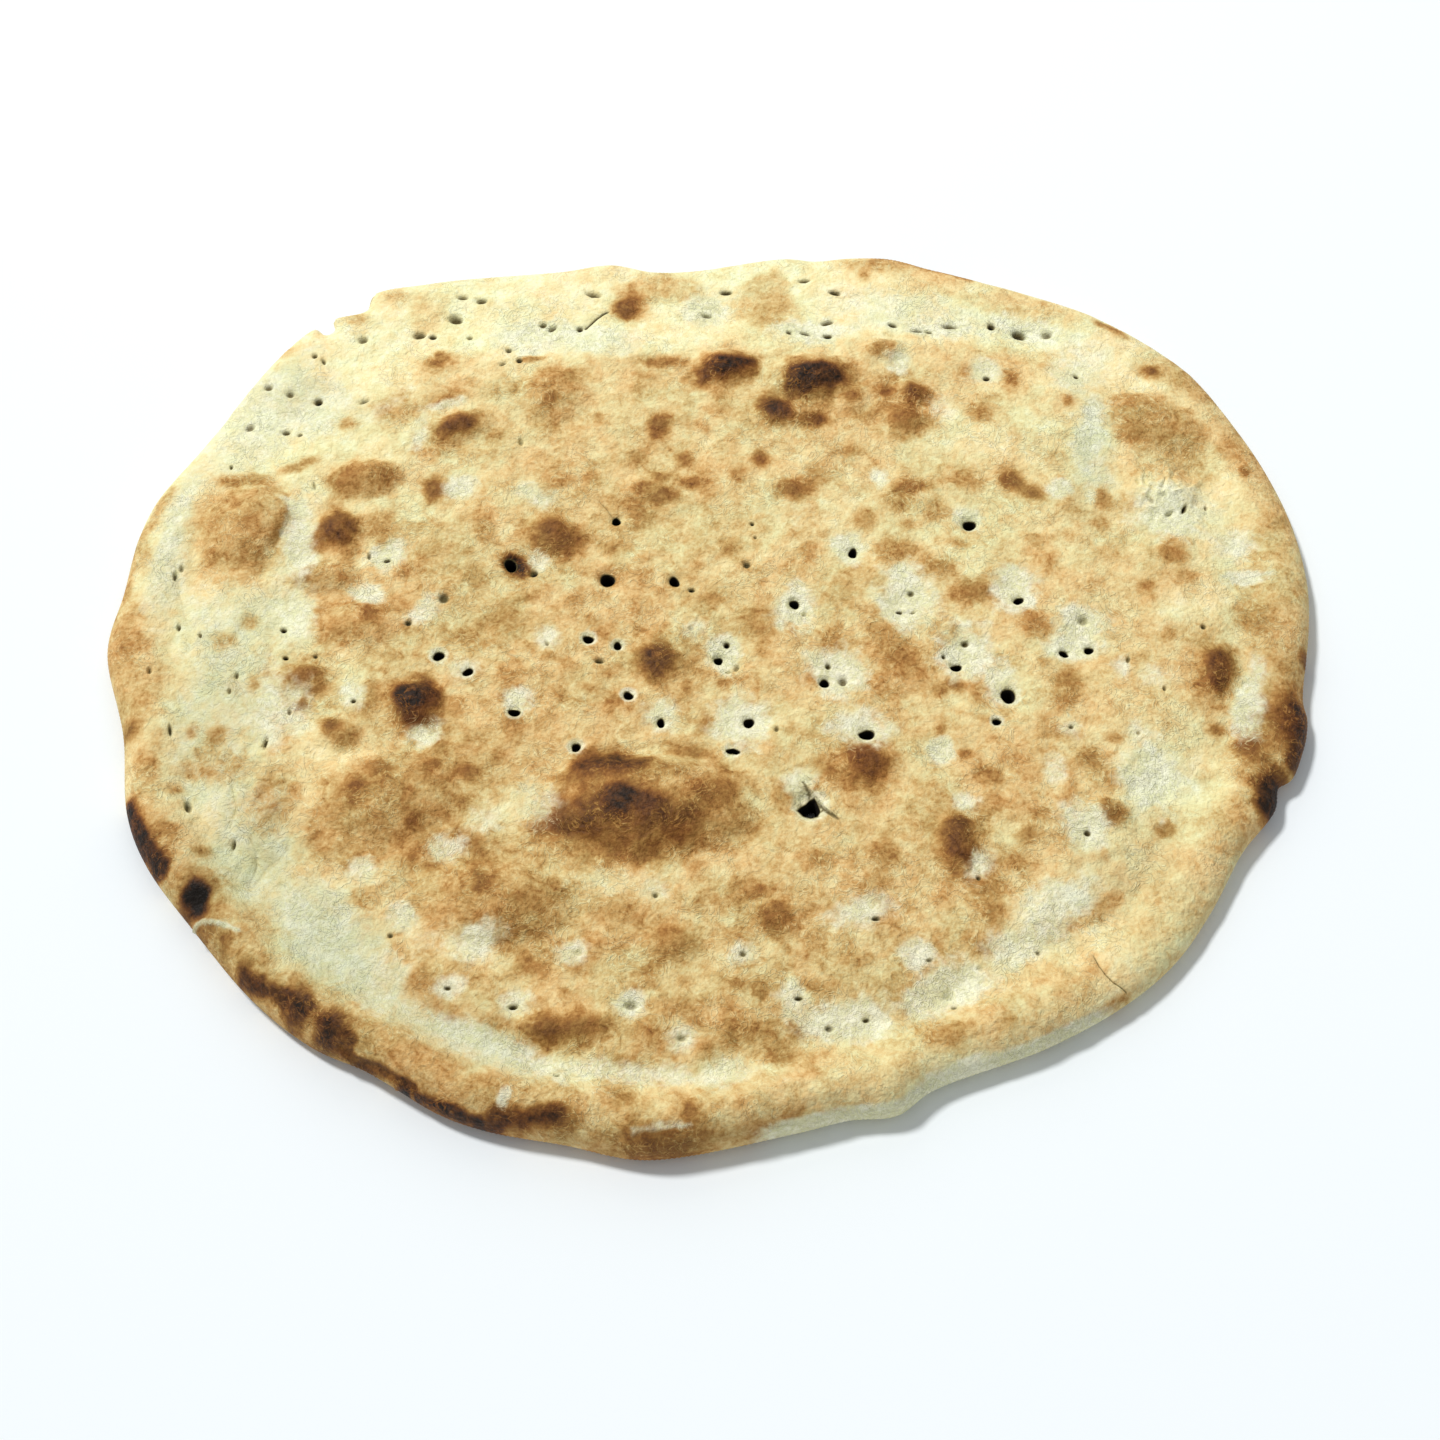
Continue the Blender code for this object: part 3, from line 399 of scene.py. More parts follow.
# Browned spots: middle x and y, half sizes, turn, level
SPOTS = [
    (-18, 1, 7, 7, 0, 0.86), (-99.5, -14.5, 7.6, 7.6, 0, 0.95), (-97, -12, 5, 5, 0, 0.90),
    (-8, -2, 3, 3, 0, 0.62),
    (-36, -40, 11, 5.8, 6, 0.89), (-30, -53, 8, 6, 20, 0.94), (-40, -61, 9, 7, 0, 0.84),
    (-20, -57, 10, 7, -10, 0.87), (-12, -66, 7, 5, 0, 0.80), (-50, -61, 5, 4.4, 0, 0.84),
    (-28, -60, 19, 13, 0, 0.74), (-26, -72, 9, 5, 0, 0.74), (-45, -68, 4, 6, 0, 0.66),
    (-42, -75, 3.5, 4.5, 0, 0.6), (-52, -61, 4, 3.5, 0, 0.74), (-12, -42, 3.5, 3, 0, 0.7),
    (-5, -36, 7, 2.6, -8, 0.72), (0, -50, 7, 5, 0, 0.74), (2, -62, 4, 6, 0, 0.68),
    (9, -61, 5, 5, 0, 0.62), (23, -51, 3.5, 4.5, 0, 0.62), (-80, -43, 4, 3.2, 0, 0.76),
    (-92, -44, 6, 3.5, -10, 0.68), (-110, -41, 3.5, 2.5, 0, 0.76), (-120, -47, 3, 3, 0, 0.68),
    (-108, -48, 4, 3, 0, 0.66), (-100, -53, 4, 4, 0, 0.66), (-110, -60, 5, 5, 0, 0.64),
    (-100, -72, 5, 5, 0, 0.62), (-123, -68, 4, 4, 0, 0.58), (-107, -56, 17, 16, 0, 0.54),
    (-68, -90, 22, 14, -8, 0.56), (-65, -100, 6, 5, 0, 0.66), (-50, -86, 4, 4.5, 0, 0.67),
    (-75, -76, 4, 2.6, 0, 0.7), (-28, -94, 7, 5, -10, 0.62), (-12, -104, 8, 6, 0, 0.67),
    (-20, -113.5, 2.8, 1.6, 20, 0.68), (-36, -106, 4, 4, 0, 0.56), (-56, -113, 2.8, 2, 0, 0.68),
    (-42, -113, 4, 3, 0, 0.6), (-91, -117, 3.5, 4, 0, 0.63), (-53, -134, 7, 4.5, 10, 0.78),
    (-40, -133, 7.5, 4.2, 0, 0.75), (-21, -135, 4.5, 3.5, 0, 0.66), (-11, -127, 4, 2.6, 0, 0.64),
    (-27, -158, 6, 4.5, -40, 0.64), (-2, -140, 3, 2.6, 0, 0.62), (21, -95, 6, 6, 0, 0.75),
    (15, -122, 3, 3.5, 0, 0.64), (36, -121, 3.5, 3, 0, 0.62), (7, -134, 4, 5, 0, 0.65),
    (17, -134, 4, 3, 0, 0.64), (21, -143, 6, 3.6, 0, 0.66), (6, -127, 3, 3, 0, 0.6),
    (45, -111, 4, 2, 0, 0.6), (33, -103, 4, 4, 0, 0.58), (60, -127, 3.6, 2.4, 0, 0.6),
    (73, -136, 8, 5, 0, 0.62), (86, -105, 6, 4, 0, 0.6), (90, -92, 5, 6, 0, 0.66),
    (51, -38, 6.4, 6.4, 0, 0.84), (42, -44, 5, 4, 0, 0.68), (80, -69, 6.4, 10, 5, 0.86),
    (88, -88, 5, 6, 0, 0.66),
    (88, -59, 3.5, 3.5, 0, 0.66), (63, -5, 9, 9, 0, 0.62), (83, -10, 3.6, 2.4, 0, 0.72),
    (76, -12, 2.4, 2.4, 0, 0.68), (84, -36, 2.4, 2.4, 0, 0.7), (91, -44, 4.2, 3.4, -20, 0.68),
    (93, -52, 2.6, 2, 0, 0.62), (103, -66, 3.2, 3.4, 0, 0.66), (36, -75, 4.2, 3, 0, 0.62),
    (55, -73, 5, 4.4, 0, 0.64), (6, -8, 2.6, 1.6, 0, 0.64), (171, -3, 5.4, 9, -15, 0.86),
    (120, -8, 5, 5.4, 0, 0.69), (119, -15, 3.4, 3.4, 0, 0.67), (113, -28, 4.6, 3, 10, 0.65),
    (125, -38, 4.6, 4, 0, 0.67), (134, -30, 3, 2, 0, 0.62), (132, -45, 3, 3.4, 0, 0.6),
    (131, -57, 5, 3.8, -20, 0.74), (107, -58, 3, 2.4, 0, 0.69), (147, -64, 3.2, 3, 0, 0.68),
    (168, -27, 4.2, 2.4, -10, 0.74), (178, -33, 4.6, 3.6, 0, 0.8), (-137, -5, 5.4, 3.4, 25, 0.76),
    (-126, -25, 3.6, 3.4, 0, 0.78), (-122, -30, 5, 4.4, 0, 0.66), (-115, -18, 3, 2.4, 0, 0.6),
    (-154, -9, 2.4, 3.4, 0, 0.58), (-173, -27, 1.8, 3, 0, 0.6), (-165, -30, 3.4, 3.4, 0, 0.56),
    (-176, -50, 2.4, 2, 0, 0.6), (-177, -64, 3, 2.6, 0, 0.66), (-165, -72, 3, 2.6, 0, 0.62),
    (-145, -58, 6, 7, 0, 0.52), (-160, -42, 7, 5, 0, 0.48), (-66, -24, 3, 4, 0, 0.66),
    (-85, -18, 4, 4, 0, 0.64), (-50, -14, 2.4, 2.4, 0, 0.64), (-67, 37.5, 6.2, 3.6, -35, 0.95),
    (-55, 52, 9, 8, -20, 0.74),
    (-56, 54, 5, 4.4, 0, 0.8), (-51, 49, 5, 4, -20, 0.82), (-98, 71, 4, 5, 15, 0.78),
    (-17, 68, 5, 4, 20, 0.76), (-17, 76, 5, 2.6, 20, 0.7), (-25, 70, 3, 4.6, 0, 0.69),
    (-26, 60, 3.6, 7, 10, 0.67), (-8, 73, 4, 2.6, 0, 0.7), (-10, 83, 3.4, 3, 0, 0.72),
    (-43, 76, 3, 2.4, 0, 0.63), (-54, 74, 5, 2.6, 0, 0.62), (-35, 46, 3.6, 3.6, 0, 0.65),
    (-80, 57, 3, 10, 15, 0.54), (-70, 15, 6, 6, 0, 0.6), (-63, 25, 2.4, 2, 0, 0.64),
    (17, 84, 3, 4, 0, 0.78), (48, 87, 5, 3, 0, 0.68), (9, 77, 2.6, 3, 0, 0.66),
    (37, 77, 5, 5, 0, 0.6), (29, 70, 6, 4.4, 0, 0.76), (70, 72, 6, 3, 12, 0.77),
    (65, 66, 5, 4, 0, 0.64), (78, 62, 3.4, 4, 0, 0.62), (105, 75, 4.2, 4, 0, 0.78),
    (113, 69, 4, 3.6, 0, 0.76), (90, 74, 6, 4, 0, 0.64), (6, 47, 4, 4, 0, 0.6),
    (33, 45, 3, 4, 0, 0.6), (53, 58, 4, 4, 0, 0.64), (65, 45, 7, 5, -10, 0.66),
    (78, 38, 6, 4, 0, 0.64), (90, 28, 8, 5, 0, 0.7), (46, 30, 3, 4, 0, 0.6),
    (15, 17, 5, 6, 0, 0.66), (86, 47.5, 3.2, 2, -20, 0.68), (42, 8, 4, 3, 0, 0.64),
    (60, 8, 7, 6, 0, 0.64), (110, 15, 5, 5, 0, 0.62), (137, 66, 3, 4.4, 0, 0.65),
    (136, 55, 3, 3, 0, 0.62), (160, 44, 5, 4, 0, 0.67), (150, 30, 3.4, 4, 0, 0.64),
    (150, 94, 5, 4, 0, 0.68), (188, 78, 2, 4, 0, 0.72), (197, 58, 5, 5, 0, 0.62),
    (185, 18, 6, 6, 0, 0.63), (155, 10, 2.6, 2.6, 0, 0.6), (-90, 100, 8, 4.6, 20, 0.83),
    (-96, 110, 7, 2.4, 35, 0.62), (-58, 111, 4.2, 4.2, 0, 0.77), (-57, 112, 9, 12, -15, 0.58),
    (-72, 114, 2, 2, 0, 0.66), (-61, 116, 2.6, 1.6, 0, 0.68), (-56, 122, 6, 3, -10, 0.63),
    (-19, 98, 3.6, 6, -5, 0.77), (-41, 102, 1.6, 2.2, 0, 0.66), (-17, 127, 7.5, 2.6, 0, 0.72),
    (-65, 128, 5.4, 1.4, 10, 0.67), (4, 126, 11, 5.6, 14, 0.94), (37, 121.5, 13, 7.2, 14, 0.95),
    (24, 106, 6.5, 4.6, -20, 0.92), (36, 101, 4.4, 3, 0, 0.84), (50, 112, 3.6, 3, 0, 0.72),
    (62, 114, 3.4, 3, 0, 0.75), (73, 113, 4.6, 4, -20, 0.87), (69, 103, 7, 6.4, 0, 0.73),
    (60, 106, 1.8, 1.8, 0, 0.68), (62, 135, 4.4, 3, 25, 0.69), (3, 114, 2.4, 4.4, 0, 0.64),
    (91, 123, 1.8, 2.8, 0, 0.62), (97, 105, 5, 5, 0, 0.6), (108, 120, 3.4, 4.6, 0, 0.68),
    (128, 110, 2.4, 2.8, 0, 0.64), (145, 109, 2.6, 2.8, 0, 0.62), (159, 122, 4.8, 3, -15, 0.79),
    (160, 101, 17, 9, -30, 0.62), (142, 144, 3, 1.8, -20, 0.64), (-31, 152, 5.4, 7.4, 0, 0.80),
    (-99, 127, 4.4, 4.8, 0, 0.71), (-130, 99, 3.2, 2.8, 0, 0.6), (-113, 105, 7, 6, 0, 0.54),
    (56, 168, 2.8, 2.8, 0, 0.6), (20, 150, 10, 8, 0, 0.46), (-18, 163, 9, 7, 0, 0.48),
    (-117, 157, 4, 2.8, 0, 0.42), (-130, 147, 4, 3, 0, 0.5), (-155, 131, 4, 3, 0, 0.42),
    (-165, 57, 16, 20, 0, 0.55), (-165, 74, 7, 3, 0, 0.66), (-162, 57, 3, 2.6, 0, 0.69),
    (-148, 59, 3, 6, 10, 0.66), (-172, 41, 3, 3, 0, 0.62), (-147, 80.5, 6, 2.2, 20, 0.66),
    (-129, 75, 4, 3.4, 20, 0.72), (-116, 76, 3, 4, 0, 0.70), (-122, 77, 13, 7.6, 0, 0.60),
    (-131, 55, 8, 7.4, 0, 0.82), (-138, 47, 3.4, 4, 0, 0.66), (-126, 43, 3.2, 4, 0, 0.66),
    (-115, 55, 6, 6, 0, 0.58), (-140, 34, 4.4, 3, 0, 0.64), (-127, 33, 3.2, 2.4, 0, 0.64),
    (-133, 34, 11, 7, 0, 0.52), (-117, 19, 3.6, 4.4, 20, 0.77), (-128, 14, 4, 3.4, 0, 0.64),
    (-121, 14, 13, 9, 0, 0.54), (-157, 15, 2.6, 3, 0, 0.54), (-165, 8, 4, 3, 0, 0.56),
]

# Browned spots of the rim and the edge in plan: middle x and y, half sizes, turn, level
RIM_SPOTS = [
    (-200, 8, 7, 15, 5, 0.58), (-198, 46, 3, 9, 15, 0.52), (-193, -27, 3.4, 4, 0, 0.72),
    (-187, -41, 4, 4, 0, 0.62), (-193, -12, 8, 14, -10, 0.52), (-164.5, -90.5, 5, 6, 0, 1.05),
    (-164, -90, 9, 10, 0, 0.66), (-161, -102, 3.4, 2.6, 0, 0.72), (-154, -106, 3.4, 3.4, 0, 0.70),
    (-148, -113, 3, 3, 0, 0.74), (-129, -127, 5, 5, 20, 0.93), (-119, -134.5, 6, 5, 0, 0.93),
    (-17, -172, 11, 4.6, 5, 0.78), (-3, -170, 4, 2, 0, 0.72), (-44, -164.5, 4, 3.4, 0, 0.74),
    (195, -27, 6, 9, 10, 0.92), (184, -54, 7, 9, -35, 0.97), (200, 0, 2.4, 4, 0, 0.82),
    (195, 22, 12, 42, 0, 0.46), (190, -18, 10, 16, 0, 0.60), (-96, -146, 30, 9, -32, 0.55),
    (-150, -116, 22, 7, -48, 0.56), (-50, -160, 34, 7, -10, 0.50), (20, -162, 40, 6, 12, 0.35),
    (150, -88, 26, 10, 55, 0.38), (88, -128, 40, 9, 24, 0.40), (172, -60, 8, 12, -30, 0.50),
    (147, 141, 6, 2.4, -40, 0.62), (170, 120, 8, 14, 50, 0.54), (188, 84, 6, 16, 22, 0.50),
    (-150, -100, 10, 8, 0, 0.48), (62, 172, 14, 3.4, -8, 0.52),
]

# Scorched and golden streaks of the rim in plan: half width, level, points
STREAKS = [
    (2.4, 0.52, [(-203, 5), (-201, 30), (-198, 50), (-190, 70)]),
    (4.0, 0.95, [(-190, -58), (-187, -66), (-182, -73), (-178, -78)]),
    (2.6, 0.90, [(-147, -117), (-140, -120.5), (-133, -124), (-126, -127)]),
    (2.4, 0.88, [(-121, -134), (-112, -138)]),
    (1.0, 0.86, [(-115, -141), (-109, -145.5), (-102, -147.5), (-96, -151.5), (-91, -153.5)]),
    (1.6, 0.97, [(-112, -146.5), (-106, -149.5), (-98, -153.5), (-93, -156)]),
    (1.3, 0.93, [(-90, -157.5), (-82, -161.5), (-70, -166)]),
    (2.6, 0.88, [(-66, -164.5), (-57, -163.5), (-46, -161)]),
    (3.4, 0.56, [(106, -102), (117, -97), (128, -91)]),
    (1.6, 0.62, [(0, -170.5), (12, -168), (22, -164), (28, -161)]),
    (2.2, 0.62, [(60, 174), (66, 175), (80, 170), (95, 165)]),
    (3.0, 0.90, [(196, -20), (197, -28), (192, -40)]),
    (1.2, 0.60, [(104, -139), (118, -131), (130, -124)]),
]

# Painted shade, grey and green, where the valley and the sides lie in shade: middle x and y, half sizes,
# turn, share
PAINTED_SHADE_PLACES = [
    (-150, -80, 22, 30, 30, 1.0), (-122, -108, 32, 15, -42, 1.0), (-84, -132, 34, 11, -30, 0.8),
    (-166, -20, 16, 40, 0, 0.8), (-150, 30, 16, 42, 0, 0.12), (-186, 30, 7, 34, 0, 0.4),
    (-146, 112, 16, 14, -30, 0.5), (134, 84, 8, 30, -8, 0.7), (130, -80, 20, 12, 32, 0.5),
    (190, -10, 12, 40, 0, 0.4),
]

# Pale unbrowned places: middle x and y, half sizes, turn, how pale
PALE = [
    (145, -46, 9, 12, -10, 1.0), (122, -64, 7, 8, 0, 0.9), (179, -20, 4.4, 12, -10, 0.9),
    (184, -3, 3, 6, 0, 0.7), (150, -6, 6, 5, 0, 0.5), (138, -2, 3.4, 4, 0, 0.7),
    (113, -42, 4, 5, 0, 0.6), (42, -5, 8.4, 8.4, 0, 1.0), (28, 21, 6, 8, 0, 1.0),
    (66, 24, 8.4, 11, 10, 1.0), (48, 45, 5.4, 6, 0, 1.0), (90, 57, 5, 5, 0, 0.9),
    (104, 28, 7.4, 8, 0, 1.0), (126, 14, 8, 6.4, 0, 1.0), (123, 5, 9, 5, 0, 1.0),
    (86, 2, 8, 10, 0, 1.0), (97, -9, 5.4, 7, 0, 0.9), (10, -24, 9, 9, 0, 0.9),
    (50, -27, 9, 6, -10, 0.9), (76, -36, 4, 5, 0, 0.9), (-18, -21, 6.4, 5.4, 0, 0.8),
    (-95, -28, 5, 5, 25, 0.9), (-66, -15, 4.4, 5, 0, 0.9), (-84, -4, 5, 4, 20, 0.6),
    (-88, 71, 6, 5, 30, 0.9), (-62, 67, 7, 4, -30, 0.7), (-60, 40, 4, 4, 0, 0.6),
    (-98, 20, 6, 4, 50, 0.7), (-56, 9, 4, 4.4, 0, 0.8), (-6, 12, 4, 4, 0, 0.6),
    (4, 3, 6, 6.4, 0, 0.9), (83, -54, 4, 4, 0, 0.7), (87, -77, 4, 6, -20, 0.7),
    (-86, -71, 6, 5, 0, 0.7), (-57, -56, 8, 8, 0, 0.5), (-74, -60, 6, 6, 0, 0.5),
    (-60, 139, 18, 6.4, 5, 0.9), (-2, 150, 7, 11, 0, 0.8), (38, 141, 14, 6, 0, 0.9),
    (60, 152, 16, 8, -10, 0.6), (84, 143, 14, 5, 0, 0.9), (68, 126, 4, 5, 0, 0.8),
    (98, 122, 5.4, 6, 0, 0.9), (83, 106, 5, 5, 0, 0.5), (116, 140, 12, 6, -15, 0.9),
    (131, 121, 8, 9, 0, 0.7), (135, 96, 5, 14, -10, 0.9), (59, 76, 3, 4, 0, 0.9),
    (122, 71, 4, 4, 0, 0.9), (160, 62, 13, 10, -10, 0.9), (182, 46, 7, 6, 0, 0.8),
    (183, 33, 7, 3, 0, 0.8), (158, 53, 4, 4, 0, 0.6), (-143, 48, 5, 16, 8, 0.9),
    (-112, 42, 6, 5, 30, 0.9), (-142, 18, 7, 11, 0, 0.7), (-119, 27, 6, 4, 0, 0.8),
    (-145, -20, 10, 13, 0, 0.7), (-120, -13, 4, 5, 0, 0.7), (-113, -79, 5, 4, 0, 0.7),
    (-133, -94, 8, 6, -45, 0.8), (-75, -105, 8, 5.4, 20, 0.8), (-99, -97, 5, 5, 0, 0.8),
    (48, -93, 9, 5, 10, 0.8), (3, -150, 9, 5, 0, 0.7), (-9, -138, 4, 4, 0, 0.7),
    (-25, -126, 4.4, 4, 0, 0.9), (-61, -126, 5, 5, 0, 0.7), (10, -109, 5, 4, 0, 0.7),
    (65, -108, 5, 5, 0, 0.8), (73, -122, 16, 7, 25, 0.9), (42, -132, 16, 6, 5, 0.9),
    (100, -104, 16, 6, 28, 0.8), (112, -90, 12, 7, 25, 0.8), (25, -123, 5, 5, 0, 0.7),
    (-88, 72, 5, 5, 0, 0.6), (-116, 108, 4, 12, -40, 0.4), (-104, 96, 2.8, 8, -15, 0.65),
    (-96, 107.5, 8, 2.4, 18, 0.7), (30, -47, 5, 5, 0, 0.8),
    (-45, -33.5, 3, 3, 0, 0.4), (-82, -120, 4, 4, 0, 0.7), (-44, -108, 4, 4, 0, 0.7),
    (-18, -87, 5, 4, 0, 0.5), (132, 82, 4, 6, 0, 0.6), (120, -26, 4, 4, 0, 0.6),
    (142, -28, 4, 5, 0, 0.6), (-57, 68, 5, 3, 0, 0.5), (-150, -60, 10, 26, 18, 0.3),
    (-172, -12, 9, 34, 0, 0.3), (-187, 55, 4, 34, -10, 0.7), (-70, -139, 30, 4.4, -24, 0.8),
    (-25, -149, 30, 3.6, -4, 0.7), (-112, -116, 22, 6, -45, 0.7), (-164, -52, 8, 14, 15, 0.25),
]

# Pale streaks of the rim in plan: half width, how pale, points. The first is a painted highlight along the
# ridge of the first fold.
PALE_AND_HIGHLIGHT_STREAKS = [
    (0.9, 0.9, [(-168, -99), (-162, -97.5), (-155, -98.5), (-150, -101)]),
    (2.0, 0.7, [(-64, -158), (-63, -155)]),
    (1.0, 0.6, [(-24, -168), (-15, -166), (-6, -166)]),
    (1.2, 0.8, [(67, -151), (80, -145), (88, -143.5)]),
]

# Where the near side shows its pale flank: bearings in degrees, distance in from the edge
FLANK_FROM = 272.0
FLANK_TO = 317.0
FLANK_IN = 2.2
# Over how many degrees and how many millimetres either way it fades
FLANK_TURN = 6.0
FLANK_SOFT = 0.9

# Crust colours from unbaked to burnt: level, then red, green and blue as a screen shows them
CRUST_COLOURS = [
    (0.00, 253, 249, 215), (0.14, 247, 237, 193), (0.26, 240, 225, 176), (0.38, 231, 208, 157),
    (0.46, 222, 193, 139), (0.54, 210, 175, 119), (0.62, 193, 152, 94), (0.70, 168, 123, 67),
    (0.79, 135, 90, 43), (0.88, 96, 58, 27), (0.95, 54, 33, 17), (1.00, 26, 18, 12),
]
PALE_COLOUR = (229, 229, 183)
PALE_BRIGHT = (252, 252, 223)
# Painted highlight on the ridges of the pale dough's crinkles
CRINKLE_HIGHLIGHT_COLOUR = (255, 253, 230)
# The painted shade's grey-green tone as multipliers of 255
PAINTED_SHADE_TINT = (228, 232, 232)
# Slow changes of tone: noise, the warm and the green end as multipliers of 255. A noise has its
# spacing in millimetres, detail, roughness, distortion and shift.
DRIFT = [
    ((30.0, 2.0, 0.5, 0.6, 11.0), (255, 247, 236), (251, 255, 249)),
    ((8.0, 2.0, 0.5, 0.6, 19.0), (255, 248, 238), (252, 255, 250)),
]
DRIFT_STEP = 0.14
# Painted shade in the pits, creases and holes: olive brown, then nearly black
PIT_SHADE_COLOUR = (104, 92, 54)
DEEP_SHADE_COLOUR = (20, 15, 9)
FLOUR_COLOUR = (236, 226, 200)

# How an oval mark fades by its reach, which is 0 at its middle and 1 on its edge: where the fade
# starts, where it ends, and up to where points are looked at
SWELL_FADE = (0.0, 1.3, 1.4)
SINK_FADE = (0.4, 1.3, 1.4)
WRINKLE_FADE = (0.55, 1.4, 1.4)
PALE_GROUND_FADE = (0.5, 1.4, 1.9)
PATCH_FADE = (0.7, 1.25, 1.8)
SPOT_FADE = (0.30, 1.45, 2.0)
PALE_FADE = (0.35, 1.6, 2.2)
PAINTED_SHADE_FADE = (0.3, 1.6, 2.0)
# The same for streaks by half widths, and for a hole's pale collar by its radius
STREAK_FADE = (0.4, 1.5)
PALE_STREAK_FADE = (0.5, 1.5)
COLLAR_FADE = (1.4, 2.5)
COLLAR_PALE = 0.7

# How much larger than their core the spots and pale places grow, and their relief
SPOT_GROW = 1.22
PALE_GROW = 1.12
SPOT_SWELL = 0.07
PALE_SINK = 0.35
# A spot larger than this swells no higher
SWELL_SIZE = 7.0

# A pit by its reach: the start and end of its wall, and a lip with its share of the depth
PIT_WALL = (0.2, 1.25)
PIT_LIP = 0.14
PIT_LIP_AT = 1.6
PIT_LIP_SPREAD = 0.4
PIT_LIMIT = 2.6
# Round a hole, by its radius: the crust dips at the mouth and has a low lip beyond
HOLE_DIP = 0.9
HOLE_DIP_AT = 0.9
HOLE_DIP_LIMIT = 3.0
HOLE_LIP = 0.22
HOLE_LIP_AT = 2.1
HOLE_SPREAD = 0.5
# Wrinkles: stretch along their run, sway as height, spacing and seed, their own seed, mean height
WRINKLE_STRETCH = 0.32
WRINKLE_SWAY = [(1.6, 7.0, 5.5)]
WRINKLE_SEED = 61.0
WRINKLE_MEAN = 0.6

# Unevenness that breaks up the outlines of marks and areas: height, spacing, seed
RAGGED = [(0.36, 9.0, 41.0), (0.30, 4.2, 47.0)]
FINE_RAGGED = [(0.25, 2.4, 43.0)]
WIDE_SWAY = [(0.40, 22.0, 61.0)]
BAND_SWAY = [(14.0, 26.0, 51.0)]
# How much of the ragged unevenness each has
PALE_GROUND_ROUGH = 0.8
PATCH_ROUGH = 0.6
SPOT_ROUGH = 0.75
PAINTED_SHADE_ROUGH = 0.6
RIM_ROUGH = 5.0
FLANK_ROUGH = 0.6
# The pale places' unevenness is taken from this far to the side
PALE_SHIFT = 90.0

# The areas: distances in where the far band and the rim fade, how much of the raised rim has the
# rim's tone, how much wider the valley's tone is than the valley, and how pale each is
BAND_TONE_IN = (34.0, 52.0)
BAND_PALE = 0.15
RIM_TONE_IN = (9.0, 16.0)
RIM_TONE_SHARE = (0.2, 0.8)
VALLEY_TONE_GROW = 1.2
VALLEY_PALE = 0.3
PALE_GROUND_PALE = 0.7
# A patch browner than this takes the paleness away
BROWN_PATCH = BAND_LEVEL + 0.15
# Where in the noise the blotches start and are full
BLOTCH_STEP = (0.1, 0.5)

# Painted shade of a pit by its reach: the core, the halo and its share, and of a crease by half widths
PIT_CORE = (0.45, 1.2)
PIT_HALO = (0.8, 2.2)
PIT_HALO_SHADE = 0.3
PIT_SHADE_LIMIT = 2.2
CREASE_SHADE = (0.3, 1.3)
# Painted shade in the holes at their upper mouth, their lower mouth and their wall
MOUTH_SHADE = 0.55
UNDER_MOUTH_SHADE = 0.8
WALL_SHADE = 1.0

# The underside: level, its swells as height, spacing and seed, and how much browner it is where
# it touches down, up to this height
UNDER_LEVEL = 0.34
UNDER_TONE = [(0.1, 40.0, 81.0)]
TOUCH_LEVEL = 0.2
TOUCH_H = 1.6
# Where the look of the underside starts and is full, and how far in the crust's tones reach
UNDER_IN = (3.0, 12.0)
LAP_IN = 9.0

# The values that the mesh holds at each point for the material
VALUES = ("bake", "pale", "painted_shade", "pit_shade", "under")

# The material's noises, made up like the drift's
COARSE = (8.0, 3.0, 0.55, 1.2, 0.0)
FINE = (3.2, 3.0, 0.6, 1.0, 0.0)
SPECK = (1.1, 2.0, 0.6, 0.0, 3.0)
WISP = (5.5, 2.0, 0.5, 1.8, 29.0)
WISP_PLACES = (15.0, 2.0, 0.5, 0.0, 31.0)
LIGHT_FINE = (2.8, 3.0, 0.6, 1.2, 7.0)
LIGHT_BROAD = (11.0, 2.0, 0.5, 0.0, 13.0)
CRINKLE = (3.4, 2.0, 0.5, 2.0, 37.0)
TOAST = (14.0, 4.0, 0.6, 0.8, 17.0)
FLOUR = (5.0, 4.0, 0.7, 0.4, 23.0)
BUMP_FINE = (1.3, 3.0, 0.6, 0.0, 5.0)
BUMP_COARSE = (3.4, 2.0, 0.5, 0.8, 9.0)

# Mottling: how strong each noise is, and how much calmer it is on pale and on scorched crust
COARSE_H = 0.50
FINE_H = 0.50
SPECK_H = 0.30
PALE_CALM = 0.4
SCORCH_CALM = 0.55
SCORCHED = (0.5, 0.8)
# Wisps: their width in the noise, where they show, and how much lighter they are
WISP_WIDTH = 0.045
WISP_STEP = (-0.08, 0.10)
WISP_LIGHTER = 0.14
# Pale dough: what the fine mottling and the wisps add to its edge, where it starts and is full,
# the levels that hide it, and how much of the crust's colour it covers
PALE_FINE = 1.2
PALE_WISP = 0.12
PALE_STEP = (0.10, 0.92)
PALE_BROWNED = (0.6, 0.85)
PALE_COVER = 0.85
# Its lighter places, and its crinkles with their painted highlight
LIGHT_BROAD_H = 0.8
LIGHT_STEP = (-0.16, 0.2)
CRINKLE_WIDTH = 0.05
CRINKLE_HIGHLIGHT_SHARE = 0.6
# The underside's toasted blotches and flour: strength, and where in the noise each shows
TOAST_FINE = 0.6
TOAST_STEP = (0.02, 0.20)
TOAST_LEVEL = 0.26
FLOUR_STEP = (0.02, 0.16)
FLOUR_COVER = 0.55
# Where the painted shade of pits, creases and holes turns olive brown and where nearly black
PIT_SHADE_OLIVE = (0.1, 0.7)
PIT_SHADE_BLACK = (0.6, 0.95)
